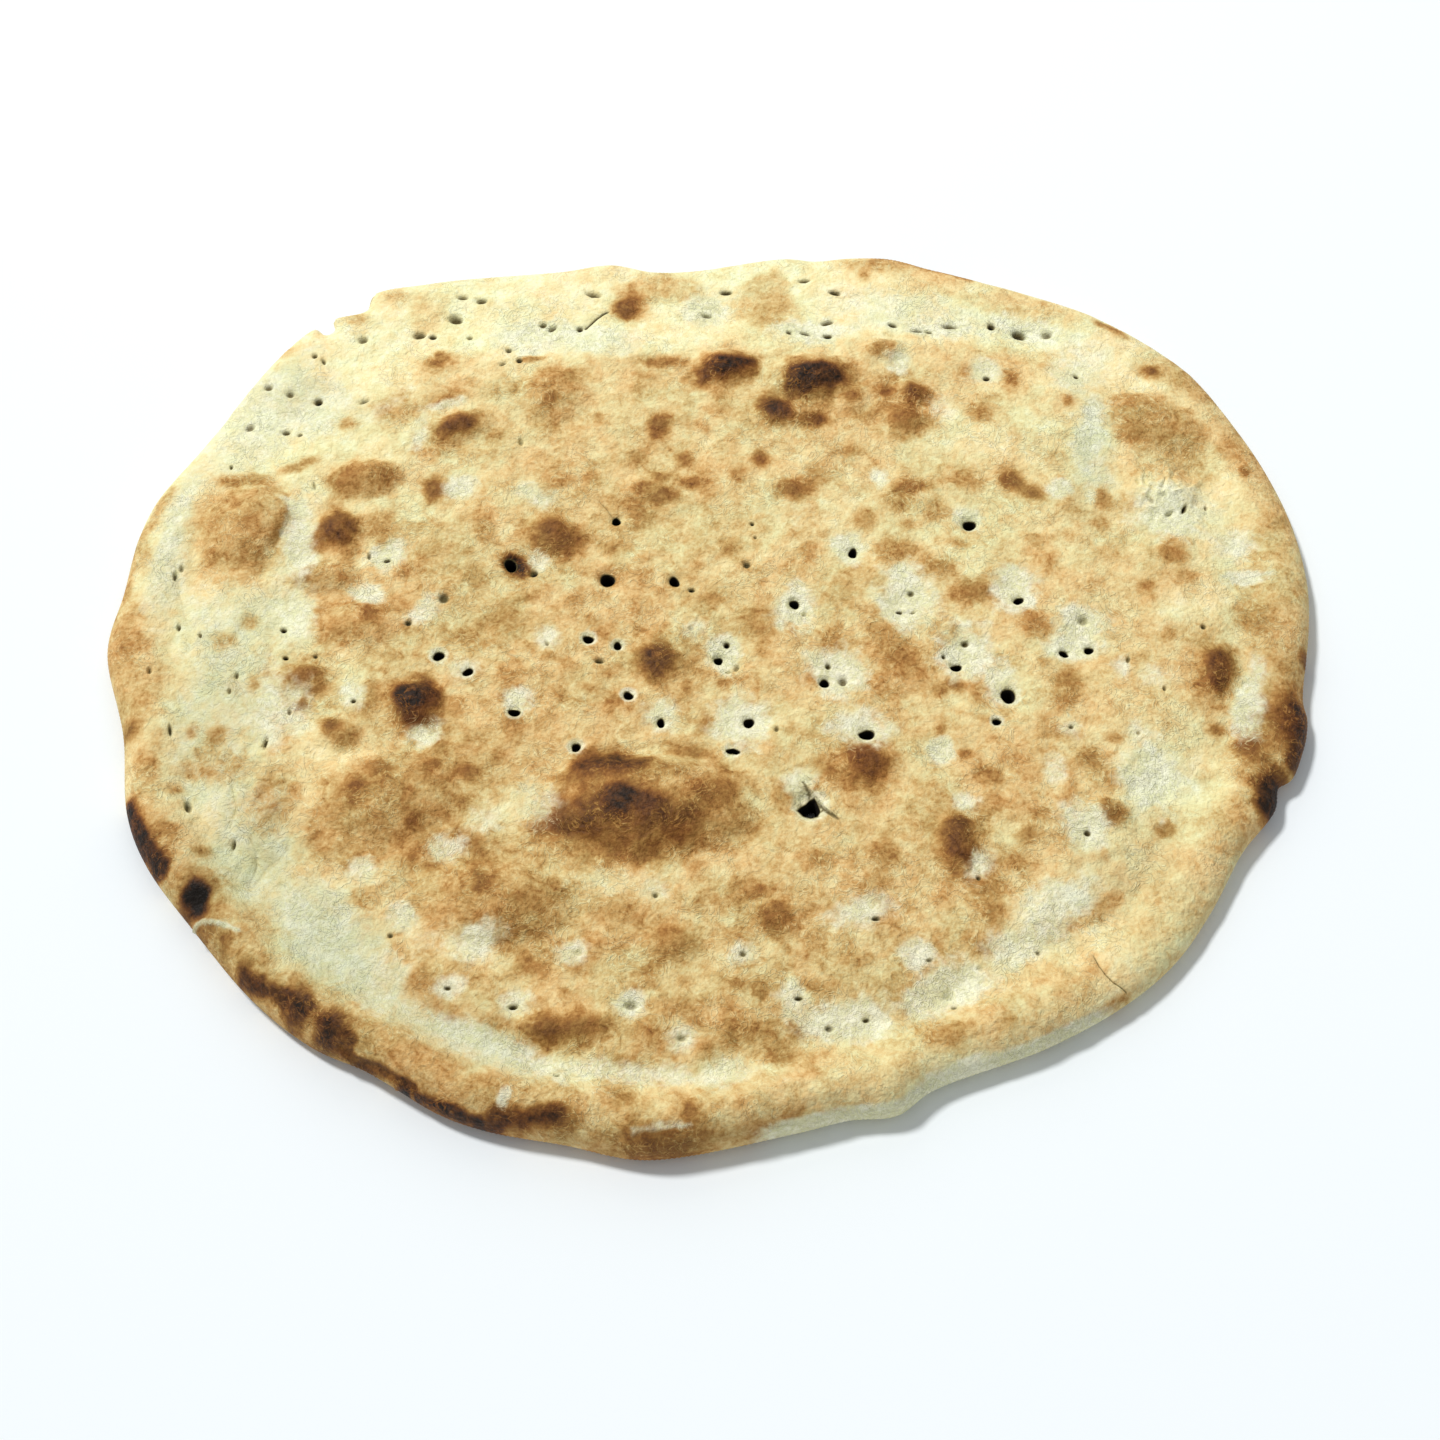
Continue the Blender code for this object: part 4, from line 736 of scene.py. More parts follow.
# Finish: the levels where the crust gets shinier, by how much, and its plain roughness
SHINY = (0.5, 1.0)
SHINE = 0.22
ROUGH_FINE = 0.4
ROUGHNESS = 0.80
SPECULAR = 0.2
# The grain's height in millimetres, and what each noise adds to it
BUMP_H = 1.1
BUMP_FINE_H = 0.5
BUMP_COARSE_H = 0.7
BUMP_WISP = 0.16
BUMP_CRINKLE = 0.10

# The floor, its radius in metres
FLOOR_SIDES = 96
FLOOR_RADIUS = 8.0
FLOOR_COLOUR = (243, 248, 250)
FLOOR_ROUGHNESS = 0.9
FLOOR_SPECULAR = 0.1

# The camera is at the sight point: its tilt below the horizon, its lens and its sensor
CAMERA_AT = tuple(c * MM for c in SIGHT)
CAMERA_TILT = 60.0
LENS = 63.75
SENSOR_WIDTH = 36.0

# The key light's direction of travel, its strength and its softness in degrees
KEY_TRAVEL = (0.45, -0.34, -0.82)
KEY_STRENGTH = 2.30
KEY_SPREAD = 9.0
# A soft light over the far side, in metres and watts
BACK_AT = (-0.15, 0.55, 0.50)
BACK_SIZE = 0.5
BACK_POWER = 0.8
# The even light of the room
ROOM_COLOUR = (0.96, 0.985, 1.0, 1.0)
ROOM_STRENGTH = 0.405


def smooth(low, high, value):
    """A step from 0 at low to 1 at high with level ends."""
    t = np.clip((value - low) / (high - low), 0.0, 1.0)
    return t * t * (3.0 - 2.0 * t)


def bell(value, middle, spread):
    """1 at the middle, falling to nearly 0 at twice the spread."""
    return np.exp(-((value - middle) / spread) ** 2)


def waves(x, y, size, seed):
    """Smooth noise between about -1 and 1 whose swells are size millimetres apart."""
    return np.array([noise.noise(Vector((a / size, b / size, seed))) for a, b in zip(x, y)])


def swells(x, y, table):
    """The sum of a table's waves, each with its height, spacing and seed."""
    return sum(height * waves(x, y, size, seed) for height, size, seed in table)


def cos_sin(turn):
    """Cosine and sine of a turn in degrees."""
    return math.cos(math.radians(turn)), math.sin(math.radians(turn))


def bearings(x, y):
    """Each point's direction from the middle, in degrees from +X."""
    return np.degrees(np.arctan2(y, x)) % 360.0


def by_bearing(x, y, table):
    """A table's value in each point's direction."""
    return np.interp(bearings(x, y), *zip(*table), period=360.0)


def closed_curve(points, step):
    """Points about step apart on a smooth closed curve through the given points."""
    knots = [Vector(p) for p in points]
    count = len(knots)
    line = []
    for i in range(count):
        p0, p1, p2, p3 = (knots[(i + k) % count] for k in (-1, 0, 1, 2))
        t1 = math.sqrt((p1 - p0).length)
        t2 = t1 + math.sqrt((p2 - p1).length)
        t3 = t2 + math.sqrt((p3 - p2).length)
        parts = max(CURVE_PARTS, int((p2 - p1).length * CURVE_PARTS_PER_MM))
        for k in range(parts):
            t = t1 + (t2 - t1) * k / parts
            a = p0.lerp(p1, t / t1)
            b = p1.lerp(p2, (t - t1) / (t2 - t1))
            c = p2.lerp(p3, (t - t2) / (t3 - t2))
            line.append(a.lerp(b, t / t2).lerp(b.lerp(c, (t - t1) / (t3 - t1)), (t - t1) / (t2 - t1)))
    line = np.array(line)
    gaps = np.linalg.norm(np.roll(line, -1, 0) - line, axis=1)
    along = np.concatenate([[0.0], np.cumsum(gaps)])
    shut = np.vstack([line, line[:1]])
    where = np.linspace(0.0, along[-1], int(round(along[-1] / step)), endpoint=False)
    return np.stack([np.interp(where, along, shut[:, k]) for k in (0, 1)], axis=1)


def edge_curve(step):
    """The loaf's edge in plan, fitted to its length and width about the origin."""
    curve = closed_curve(EDGE, step)
    low, high = curve.min(0), curve.max(0)
    size = np.array([LENGTH, WIDTH]) / MM
    return (curve - (low + high) / 2.0) * size / (high - low)


def distance_to(x, y, corners):
    """How far each point lies from an open line through the corners."""
    nearest = np.full(len(x), np.inf)
    for a, b in zip(corners[:-1], corners[1:]):
        run = b - a
        t = np.clip(((x - a[0]) * run[0] + (y - a[1]) * run[1]) / (run @ run), 0.0, 1.0)
        nearest = np.minimum(nearest, np.hypot(x - a[0] - t * run[0], y - a[1] - t * run[1]))
    return nearest


def distance_in(x, y, edge):
    """How far each point lies from the edge."""
    return distance_to(x, y, np.vstack([edge, edge[:1]]))


def is_inside(x, y, edge):
    """True for each point within the edge."""
    inside = np.zeros(len(x), bool)
    for a, b in zip(edge, np.roll(edge, -1, 0)):
        if a[1] == b[1]:
            continue
        crosses = (a[1] > y) != (b[1] > y)
        inside ^= crosses & (x < a[0] + (y - a[1]) * (b[0] - a[0]) / (b[1] - a[1]))
    return inside


def outside(points, loops):
    """The points that lie in none of the loops."""
    for loop in loops:
        points = points[~is_inside(points[:, 0], points[:, 1], loop)]
    return points


def blister(x, y, cx, cy, half_length, half_width, turn, height):
    """A dome that is steeper on its far side than on its near side."""
    c, s = cos_sin(turn)
    u = ((x - cx) * c + (y - cy) * s) / half_length
    v = (-(x - cx) * s + (y - cy) * c) / half_width
    v = np.where(v > STEEP_FROM, v + STEEPNESS * (v - STEEP_FROM) ** 2, v)
    reach = np.clip(1.0 - u * u - v * v, 0.0, None)
    return height * reach ** DOME_POWER


def rounded(inset, radius):
    """A quarter round: 0 at the edge, 1 from radius inwards."""
    t = np.clip(inset / radius, 0.0, 1.0)
    return np.sqrt(1.0 - (1.0 - t) ** 2)


class Crust:
    """The upper crust inside an edge, with its blisters and hollows in place."""

    def __init__(self, edge):
        self.edge = edge
        self.blisters, self.hollows = [], []
        blisters, hollows = self.placed(BLISTERS), self.placed(HOLLOWS)
        self.blisters, self.hollows = blisters, hollows

    def placed(self, marks):
        """The marks with their places moved along the sight lines to the crust."""
        read = np.array([mark[:2] for mark in marks], float)
        at = read
        for _ in range(SIGHT_STEPS):
            lean = (self.height(at[:, 0], at[:, 1]) - READ_H) / (SIGHT[2] - READ_H)
            at = read + (np.array(SIGHT[:2]) - read) * lean[:, None]
        return [(x, y, *mark[2:]) for (x, y), mark in zip(at, marks)]

    def placed_lines(self, marks):
        """The same for marks whose last part is a list of points, given back as arrays."""
        return [(*mark[:-1], np.array(self.placed(mark[-1]))) for mark in marks]

    def height(self, x, y, inset=None):
        """Height of the upper crust, which rounds over at the edge."""
        if inset is None:
            inset = distance_in(x, y, self.edge)
        rim = by_bearing(x, y, RIM_SHARE)
        level = BAND_H + (BODY_H - BAND_H) * smooth(BAND_FROM, BAND_TO, inset)
        level += (BODY_H - level) * rim
        level += rim * RIM_H * bell(inset, RIM_IN, RIM_SPREAD)
        level -= rim * VALLEY_H * bell(inset, VALLEY_IN, VALLEY_SPREAD)
        level -= (1.0 - rim) * BAND_DROP * (1.0 - smooth(0.0, BAND_FROM, inset))
        level += swells(x, y, BODY_WAVES)
        for shape in self.blisters:
            level += blister(x, y, *shape)
        for cx, cy, radius, depth in self.hollows:
            level -= depth * np.exp(-((x - cx) ** 2 + (y - cy) ** 2) / (HOLLOW_SPREAD * radius) ** 2)
        return EDGE_H + (level - EDGE_H) * rounded(inset, TOP_ROUND)


def under_height(x, y, inset):
    """Height of the underside before it rounds up at the edge; 0 where it touches down."""
    arch = ARCH_H * smooth(ARCH_FROM, ARCH_TO, inset)
    return np.clip(arch + swells(x, y, UNDER_WAVES) - UNDER_SINK, 0.0, None)


def under_surface(x, y, inset):
    """Height of the underside, with its rise to the edge and its grain."""
    plain = EDGE_H - (EDGE_H - under_height(x, y, inset)) * rounded(inset, UNDER_ROUND)
    grain = swells(x, y, UNDER_GRAIN) * smooth(*UNDER_GRAIN_IN, inset)
    return np.maximum(plain + grain, 0.0)


def oval(cx, cy, width, length, turn, count, grow=1.0):
    """Points anticlockwise round an oval in plan."""
    c, s = cos_sin(turn)
    angle = np.arange(count) * 2.0 * math.pi / count
    u, v = 0.5 * width * grow * np.cos(angle), 0.5 * length * grow * np.sin(angle)
    return np.stack([cx + u * c - v * s, cy + u * s + v * c], 1)


def oval_reach(x, y, middle_x, middle_y, half_x, half_y, turn, limit):
    """0 at an oval's middle and 1 on its edge, for the points within the limit, and which they are."""
    near = np.flatnonzero(np.hypot(x - middle_x, y - middle_y) < limit * max(half_x, half_y))
    c, s = cos_sin(turn)
    u = ((x[near] - middle_x) * c + (y[near] - middle_y) * s) / half_x
    v = (-(x[near] - middle_x) * s + (y[near] - middle_y) * c) / half_y
    return np.hypot(u, v), near


def cover(x, y, place, fade, uneven=None, grow=1.0):
    """How much an oval mark covers the points near it, from 1 inside to 0, and which they are."""
    start, end, limit = fade
    reach, near = oval_reach(x, y, *place, limit)
    reach = reach / grow
    if uneven is not None:
        reach = reach + uneven[near]
    return 1.0 - smooth(start, end, reach), near


def loop_reach(x, y, loop):
    """0 at a hole's middle and about 1 at its mouth."""
    middle = loop.mean(0)
    size = np.linalg.norm(loop - middle, axis=1).mean()
    return np.hypot(x - middle[0], y - middle[1]) / size


def grown(loop, grow):
    """The loop made larger about its middle."""
    return loop.mean(0) + (loop - loop.mean(0)) * grow


def hole_loops(crust):
    """The mouth of each docking hole and of the tear: slightly uneven closed loops."""
    loops = []
    angle = np.arange(HOLE_POINTS) * 2.0 * math.pi / HOLE_POINTS
    for number, shape in enumerate(crust.placed(HOLES)):
        loop = oval(*shape, HOLE_POINTS)
        uneven = np.ones(HOLE_POINTS)
        for share, lobes, turn in HOLE_UNEVEN:
            uneven += share * np.cos(lobes * angle + turn * number)
        loops.append(grown(loop, uneven[:, None]))
    loops.append(np.array(crust.placed(TEAR)))
    return loops


def full_pits():
    """The pits, with those of the far and left sides at their full size, depth and painted shade."""
    found = []
    for x, y, width, length, turn, depth, shade in PITS:
        far, left = y > FAR_PITS_FROM, x < LEFT_PITS_TO
        if far:
            width, length = FAR_PIT_GROW * width, FAR_PIT_GROW * length
        if far or left:
            depth *= SIDE_PIT_DEPTH
            shade = min(1.0, shade + (FAR_PIT_SHADE if far else LEFT_PIT_SHADE))
        found.append((x, y, width, length, turn, depth, shade))
    return found


def full_wrinkles():
    """All wrinkled places with the height that they have."""
    return [(*place, WRINKLE_RISE * height) for *place, height in WRINKLES] + SLACK_WRINKLES


def bubble_rims():
    """A closed crease round each flattened bubble."""
    rims = [oval(*bubble, 0.0, BUBBLE_POINTS) for bubble in BUBBLES]
    return [(*BUBBLE_CREASE, np.vstack([rim, rim[:1]])) for rim in rims]


def placed_marks(crust):
    """Every list of marks with its places on the crust."""
    ovals = {"pits": full_pits(), "spots": SPOTS + RIM_SPOTS, "pale": PALE, "patches": PATCHES,
             "pale ground": PALE_GROUND, "painted_shade": PAINTED_SHADE_PLACES, "wrinkles": full_wrinkles()}
    lines = {"creases": CREASES + bubble_rims(), "folds": FOLDS, "streaks": STREAKS,
             "pale and highlight streaks": PALE_AND_HIGHLIGHT_STREAKS}
    marks = {name: crust.placed(places) for name, places in ovals.items()}
    marks.update({name: crust.placed_lines(places) for name, places in lines.items()})
    return marks


def spaced(groups):
    """The points of each group in turn, less those nearer than its gap to one taken before."""
    taken = []
    for points, gap in groups:
        if taken and gap:
            before = np.vstack(taken)
            tree = kdtree.KDTree(len(before))
            for i, p in enumerate(before):
                tree.insert((p[0], p[1], 0.0), i)
            tree.balance()
            points = [p for p in points if tree.find((p[0], p[1], 0.0))[2] > gap]
        if len(points):
            taken.append(np.array(points))
    return taken


def ring_points(edge, round_width, rings):
    """Rings of points where the loaf rounds over."""
    ahead = np.roll(edge, -1, 0) - np.roll(edge, 1, 0)
    inward = np.stack([-ahead[:, 1], ahead[:, 0]], 1) / np.linalg.norm(ahead, axis=1)[:, None]
    found = []
    for k in range(1, rings + 1):
        inset = round_width * (1.0 - math.cos(0.5 * math.pi * k / rings))
        ring = edge + inset * inward
        if k % 2:
            ring = (ring + np.roll(ring, -1, 0)) / 2.0
        clear = distance_in(ring[:, 0], ring[:, 1], edge) > RING_CLEAR * inset
        found.append(ring[clear & is_inside(ring[:, 0], ring[:, 1], edge)])
    return np.vstack(found)


def grid_points(edge, round_width, step):
    """An even triangular grid inside the rounded margin."""
    low, high = edge.min(0), edge.max(0)
    row_gap = step * math.sqrt(3.0) / 2.0
    grid = []
    for row in range(int((high[1] - low[1]) / row_gap) + 1):
        x = np.arange(low[0] + 0.5 * step * (row % 2), high[0], step)
        grid.append(np.column_stack([x, np.full(len(x), low[1] + row * row_gap)]))
    grid = np.vstack(grid)
    inside = is_inside(grid[:, 0], grid[:, 1], edge)
    deep = distance_in(grid[:, 0], grid[:, 1], edge) > round_width + GRID_CLEAR * step
    return grid[inside & deep]


def line_points(corners, half_width):
    """Three rows of points along a crease or a fold."""
    rows = []
    for a, b in zip(corners[:-1], corners[1:]):
        run = b - a
        length = np.linalg.norm(run)
        side = np.array([-run[1], run[0]]) / length
        for t in np.arange(0.0, length, LINE_STEP) / length:
            rows += [a + t * run + k * half_width * side for k in (-1.0, 0.0, 1.0)]
    return np.array(rows)


def detail_points(loops, marks):
    """Extra points round the holes, in the pits and along the creases and folds."""
    round_holes = [grown(loop, grow) for loop in loops for grow in HOLE_RINGS]
    in_pits = []
    for *size, _, _ in marks["pits"]:
        in_pits.append(oval(*size, 1, 0.0))
        in_pits += [oval(*size, count, grow) for count, grow in PIT_RINGS]
    lines = [line_points(points, half) for half, _, _, points in marks["creases"]]
    lines += [line_points(points, half) for half, _, points in marks["folds"]]
    return [outside(np.vstack(group), loops) for group in (round_holes, in_pits, lines)]


def skin(loops, inner):
    """Triangles over the loops and inner points, counted in the order given, less the holes.

    The first loop is the outer edge and the rest are holes.
    """
    points = [Vector(p) for p in np.vstack(loops + [inner])]
    borders, owner, start = [], {}, 0
    for number, loop in enumerate(loops):
        count = len(loop)
        borders += [(start + i, start + (i + 1) % count) for i in range(count)]
        owner.update({start + i: number for i in range(count)})
        start += count
    _, _, faces, origins, _, _ = delaunay_2d_cdt(points, borders, [], INSIDE_ONLY, MERGE_UNDER)
    kept = []
    for face in faces:
        face = [origins[i][0] for i in face]
        holes = {owner.get(i, 0) for i in face}
        if len(holes) == 1 and 0 not in holes:
            middle = sum((points[i] for i in face), Vector((0.0, 0.0))) / 3.0
            loop = loops[holes.pop()]
            if is_inside(np.array([middle.x]), np.array([middle.y]), loop)[0]:
                continue
        kept.append(face)
    return kept


def fine_relief(x, y, inset, loops, marks):
    """How far the crust stands out from its plain shape, in millimetres."""
    relief = swells(x, y, GRAIN) * smooth(0.0, GRAIN_IN, inset)
    for *place, _ in marks["spots"]:
        here, near = cover(x, y, place, SWELL_FADE)
        relief[near] += SPOT_SWELL * min(*place[2:4], SWELL_SIZE) * here
    for *place, share in marks["pale"]:
        here, near = cover(x, y, place, SINK_FADE)
        relief[near] -= PALE_SINK * share * here
    for cx, cy, width, length, turn, depth, _ in marks["pits"]:
        reach, near = oval_reach(x, y, cx, cy, 0.5 * width, 0.5 * length, turn, PIT_LIMIT)
        relief[near] -= depth * (1.0 - smooth(*PIT_WALL, reach))
        relief[near] += PIT_LIP * depth * bell(reach, PIT_LIP_AT, PIT_LIP_SPREAD)
    for loop in loops:
        away = loop_reach(x, y, loop)
        relief -= HOLE_DIP * bell(away, HOLE_DIP_AT, HOLE_SPREAD) * (away < HOLE_DIP_LIMIT)
        relief += HOLE_LIP * bell(away, HOLE_LIP_AT, HOLE_SPREAD)
    for half_width, depth, _, points in marks["creases"]:
        relief -= depth * bell(distance_to(x, y, points), 0.0, half_width)
    for half_width, height, points in marks["folds"]:
        relief += height * bell(distance_to(x, y, points), 0.0, half_width)
    for *place, turn, size, height in marks["wrinkles"]:
        here, near = cover(x, y, (*place, 0.0), WRINKLE_FADE)
        c, s = cos_sin(turn)
        along = (x[near] * c + y[near] * s) * WRINKLE_STRETCH
        across = -x[near] * s + y[near] * c
        sway = across + swells(x[near], y[near], WRINKLE_SWAY)
        fold = 1.0 - 2.0 * np.abs(waves(along, sway, size, WRINKLE_SEED + turn))
        relief[near] += height * (fold - WRINKLE_MEAN) * here
    return relief


def ground_tones(x, y, inset, rough, marks):
    """Level and paleness of the large areas and broad places, and how much far band there is."""
    rim = by_bearing(x, y, RIM_SHARE)
    level = np.full(len(x), GROUND)
    pale = np.zeros(len(x))
    band = (1.0 - smooth(*BAND_TONE_IN, inset + swells(x, y, BAND_SWAY))) * (1.0 - rim)
    level += (BAND_LEVEL - level) * band
    pale += BAND_PALE * band
    valley = bell(inset, VALLEY_IN, VALLEY_TONE_GROW * VALLEY_SPREAD) * rim
    level += (VALLEY_LEVEL - level) * valley
    pale = np.maximum(pale, VALLEY_PALE * valley)
    uneven = swells(x, y, WIDE_SWAY) + PALE_GROUND_ROUGH * rough
    for *place, share in marks["pale ground"]:
        here, near = cover(x, y, place, PALE_GROUND_FADE, uneven)
        here = share * here
        level[near] += (PALE_LEVEL - level[near]) * here
        pale[near] = np.maximum(pale[near], PALE_GROUND_PALE * here)
    on_rim = (1.0 - smooth(*RIM_TONE_IN, inset + RIM_ROUGH * rough)) * smooth(*RIM_TONE_SHARE, rim)
    on_rim *= by_bearing(x, y, RIM_TONE)
    level += (RIM_LEVEL - level) * on_rim
    pale *= 1.0 - on_rim
    for *place, target in marks["patches"]:
        here, near = cover(x, y, place, PATCH_FADE, PATCH_ROUGH * rough)
        level[near] += (target - level[near]) * here
        if target > BROWN_PATCH:
            pale[near] *= 1.0 - here
    return level, pale, band


def with_pale_places(pale, x, y, inset, loops, marks):
    """The paleness with the pale places, the pale streaks and a fold's painted highlight, the holes'
    collars and the near flank.
    """
    rough = swells(x + PALE_SHIFT, y, RAGGED) + swells(x, y, FINE_RAGGED)
    for *place, target in marks["pale"]:
        here, near = cover(x, y, place, PALE_FADE, rough, PALE_GROW)
        pale[near] = np.maximum(pale[near], target * here)
    for half_width, target, points in marks["pale and highlight streaks"]:
        away = distance_to(x, y, points) / half_width
        pale = np.maximum(pale, target * (1.0 - smooth(*PALE_STREAK_FADE, away)))
    for loop in loops[BARE_HOLES:]:
        pale = np.maximum(pale, COLLAR_PALE * (1.0 - smooth(*COLLAR_FADE, loop_reach(x, y, loop))))
    bearing = bearings(x, y)
    side = smooth(FLANK_FROM, FLANK_FROM + FLANK_TURN, bearing)
    side *= 1.0 - smooth(FLANK_TO - FLANK_TURN, FLANK_TO, bearing)
    flank = 1.0 - smooth(FLANK_IN - FLANK_SOFT, FLANK_IN + FLANK_SOFT, inset + FLANK_ROUGH * rough)
    return np.maximum(pale, side * flank)


def tones(x, y, inset, loops, marks):
    """How brown the crust is, from 0 unbaked to 1 burnt, and how pale, from 0 to 1."""
    rough = swells(x, y, RAGGED)
    level, pale, band = ground_tones(x, y, inset, rough, marks)
    # Painted shade towards the near side and painted light towards the far side
    level -= NEAR_PAINTED_SHADE * y / (0.5 * WIDTH / MM) * (1.0 - band)
    for height, size, seed in MOTTLE:
        level += height * waves(x, y, size, seed)
    for height, size, seed in BLOTCHES:
        blotch = height * smooth(*BLOTCH_STEP, waves(x, y, size, seed))
        level += blotch * (1.0 - pale) * (1.0 - band)
    for *place, target in marks["spots"]:
        here, near = cover(x, y, place, SPOT_FADE, SPOT_ROUGH * rough, SPOT_GROW)
        level[near] = np.maximum(level[near], level[near] + (target - level[near]) * here)
        pale[near] *= 1.0 - here
    for half_width, target, points in marks["streaks"]:
        here = 1.0 - smooth(*STREAK_FADE, distance_to(x, y, points) / half_width + rough)
        level = np.maximum(level, level + (target - level) * here)
        pale *= 1.0 - here
    return level, with_pale_places(pale, x, y, inset, loops, marks)


def painted_shade_share(x, y, marks):
    """How much grey-green painted shade there is, from 0 to 1."""
    uneven = PAINTED_SHADE_ROUGH * (swells(x, y, WIDE_SWAY) + swells(x, y, RAGGED))
    painted_shade = np.zeros(len(x))
    for *place, share in marks["painted_shade"]:
        here, near = cover(x, y, place, PAINTED_SHADE_FADE, uneven)
        painted_shade[near] = np.maximum(painted_shade[near], share * here)
    return painted_shade


def painted_pit_shade(x, y, marks):
    """How much painted shade the pits and creases get, from 0 to 1."""
    dark = np.zeros(len(x))
    for cx, cy, width, length, turn, _, shade in marks["pits"]:
        reach, near = oval_reach(x, y, cx, cy, 0.5 * width, 0.5 * length, turn, PIT_SHADE_LIMIT)
        core = shade * (1.0 - smooth(*PIT_CORE, reach))
        halo = PIT_HALO_SHADE * shade * (1.0 - smooth(*PIT_HALO, reach))
        dark[near] = np.maximum(dark[near], np.maximum(core, halo))
    for half_width, _, shade, points in marks["creases"]:
        away = distance_to(x, y, points) / half_width
        dark = np.maximum(dark, shade * (1.0 - smooth(*CREASE_SHADE, away)))
    return dark


def face_normals(points, faces):
    """Unit normals of the points from the triangles round them."""
    corners = np.array(faces)
    a, b, c = (points[corners[:, k]] for k in range(3))
    flat = np.cross(b - a, c - a)
    normals = np.zeros_like(points)
    for k in range(3):
        np.add.at(normals, corners[:, k], flat)
    return normals / np.maximum(np.linalg.norm(normals, axis=1), 1e-9)[:, None]


def upper_skin(crust, loops, marks):
    """Points and triangles of the upper crust, and the values that its material reads."""
    edge, rim_count = crust.edge, len(crust.edge)
    holes, pits, lines = detail_points(loops, marks)
    grid = outside(grid_points(edge, TOP_ROUND, TOP_STEP), loops)
    spread = spaced([(np.vstack([edge] + loops), 0.0), (holes, HOLE_GAP), (lines, LINE_GAP),
                     (pits, PIT_GAP), (ring_points(edge, TOP_ROUND, TOP_RINGS), RING_GAP),
                     (grid, GRID_GAP)])
    inner = np.vstack(spread[1:])
    plan = np.vstack([edge] + loops + [inner])
    faces = skin([edge] + loops, inner)

    x, y = plan[:, 0], plan[:, 1]
    inset = distance_in(x, y, edge)
    inset[:rim_count] = 0.0
    points = np.column_stack([plan, crust.height(x, y, inset)])
    relief = fine_relief(x, y, inset, loops, marks)
    relief[:rim_count] = 0.0
    points += face_normals(points, faces) * relief[:, None]

    bake, pale = tones(x, y, inset, loops, marks)
    pit_shade = painted_pit_shade(x, y, marks)
    # The holes' upper mouths get painted shade
    pit_shade[rim_count:rim_count + sum(len(loop) for loop in loops)] = MOUTH_SHADE
    return points, faces, (bake, pale, painted_shade_share(x, y, marks), pit_shade, np.zeros(len(x)))


def under_skin(edge, loops, marks):
    """Points and triangles of the underside, and the values of all but the shared edge."""
    holes = np.vstack([grown(loop, UNDER_HOLE_GROW) for loop in loops])
    spread = spaced([(np.vstack([edge] + loops), 0.0), (holes, UNDER_HOLE_GAP),
                     (ring_points(edge, UNDER_ROUND, UNDER_RINGS), RING_GAP),
                     (grid_points(edge, UNDER_ROUND, UNDER_STEP), UNDER_GRID_GAP)])
    inner = outside(np.vstack(spread[1:]), loops)
    plan = np.vstack([edge] + loops + [inner])
    faces = skin([edge] + loops, inner)
    inset = distance_in(plan[:, 0], plan[:, 1], edge)
    points = np.column_stack([plan, under_surface(plan[:, 0], plan[:, 1], inset)])

    x, y, z = points[len(edge):].T
    inset = inset[len(edge):]
    bake = UNDER_LEVEL + swells(x, y, UNDER_TONE)
    bake += TOUCH_LEVEL * (1.0 - smooth(0.0, TOUCH_H, z))
    pale, painted_shade, pit_shade = (np.zeros(len(x)) for _ in range(3))
    # The holes' lower mouths get painted shade
    pit_shade[:sum(len(loop) for loop in loops)] = UNDER_MOUTH_SHADE
    # The crust's tones lap under the edge
    side = np.flatnonzero(inset < LAP_IN)
    lap = 1.0 - smooth(0.0, LAP_IN, inset[side])
    side_bake, side_pale = tones(x[side], y[side], inset[side], loops, marks)
    bake[side] += (side_bake - bake[side]) * lap
    pale[side] = side_pale * lap
    painted_shade[side] = painted_shade_share(x[side], y[side], marks) * lap
    return points, faces, (bake, pale, painted_shade, pit_shade, smooth(*UNDER_IN, inset))


def hole_walls(loops, upper, under, under_index, first, next_point):
    """Rings of points down each hole, and the triangles that join them to the mouths.

    The mouths' points start at first in both skins, and the rings' points at next_point.
    """
    walls, faces = [], []
    for loop in loops:
        count, middle = len(loop), loop.mean(0)
        mouth = list(range(first, first + count))
        head, foot = upper[mouth], under[mouth]
        rows = [mouth]
        for depth, grow in HOLE_WALL:
            ring = head + (foot - head) * depth
            ring[:, :2] = middle + (ring[:, :2] - middle) * grow
            walls.append(ring)
            rows.append(list(range(next_point, next_point + count)))
            next_point += count
        rows.append([under_index(i) for i in mouth])
        for high, low in zip(rows[:-1], rows[1:]):
            for i in range(count):
                j = (i + 1) % count
                faces += [[high[i], high[j], low[j]], [high[i], low[j], low[i]]]
        first += count
    return np.vstack(walls), faces


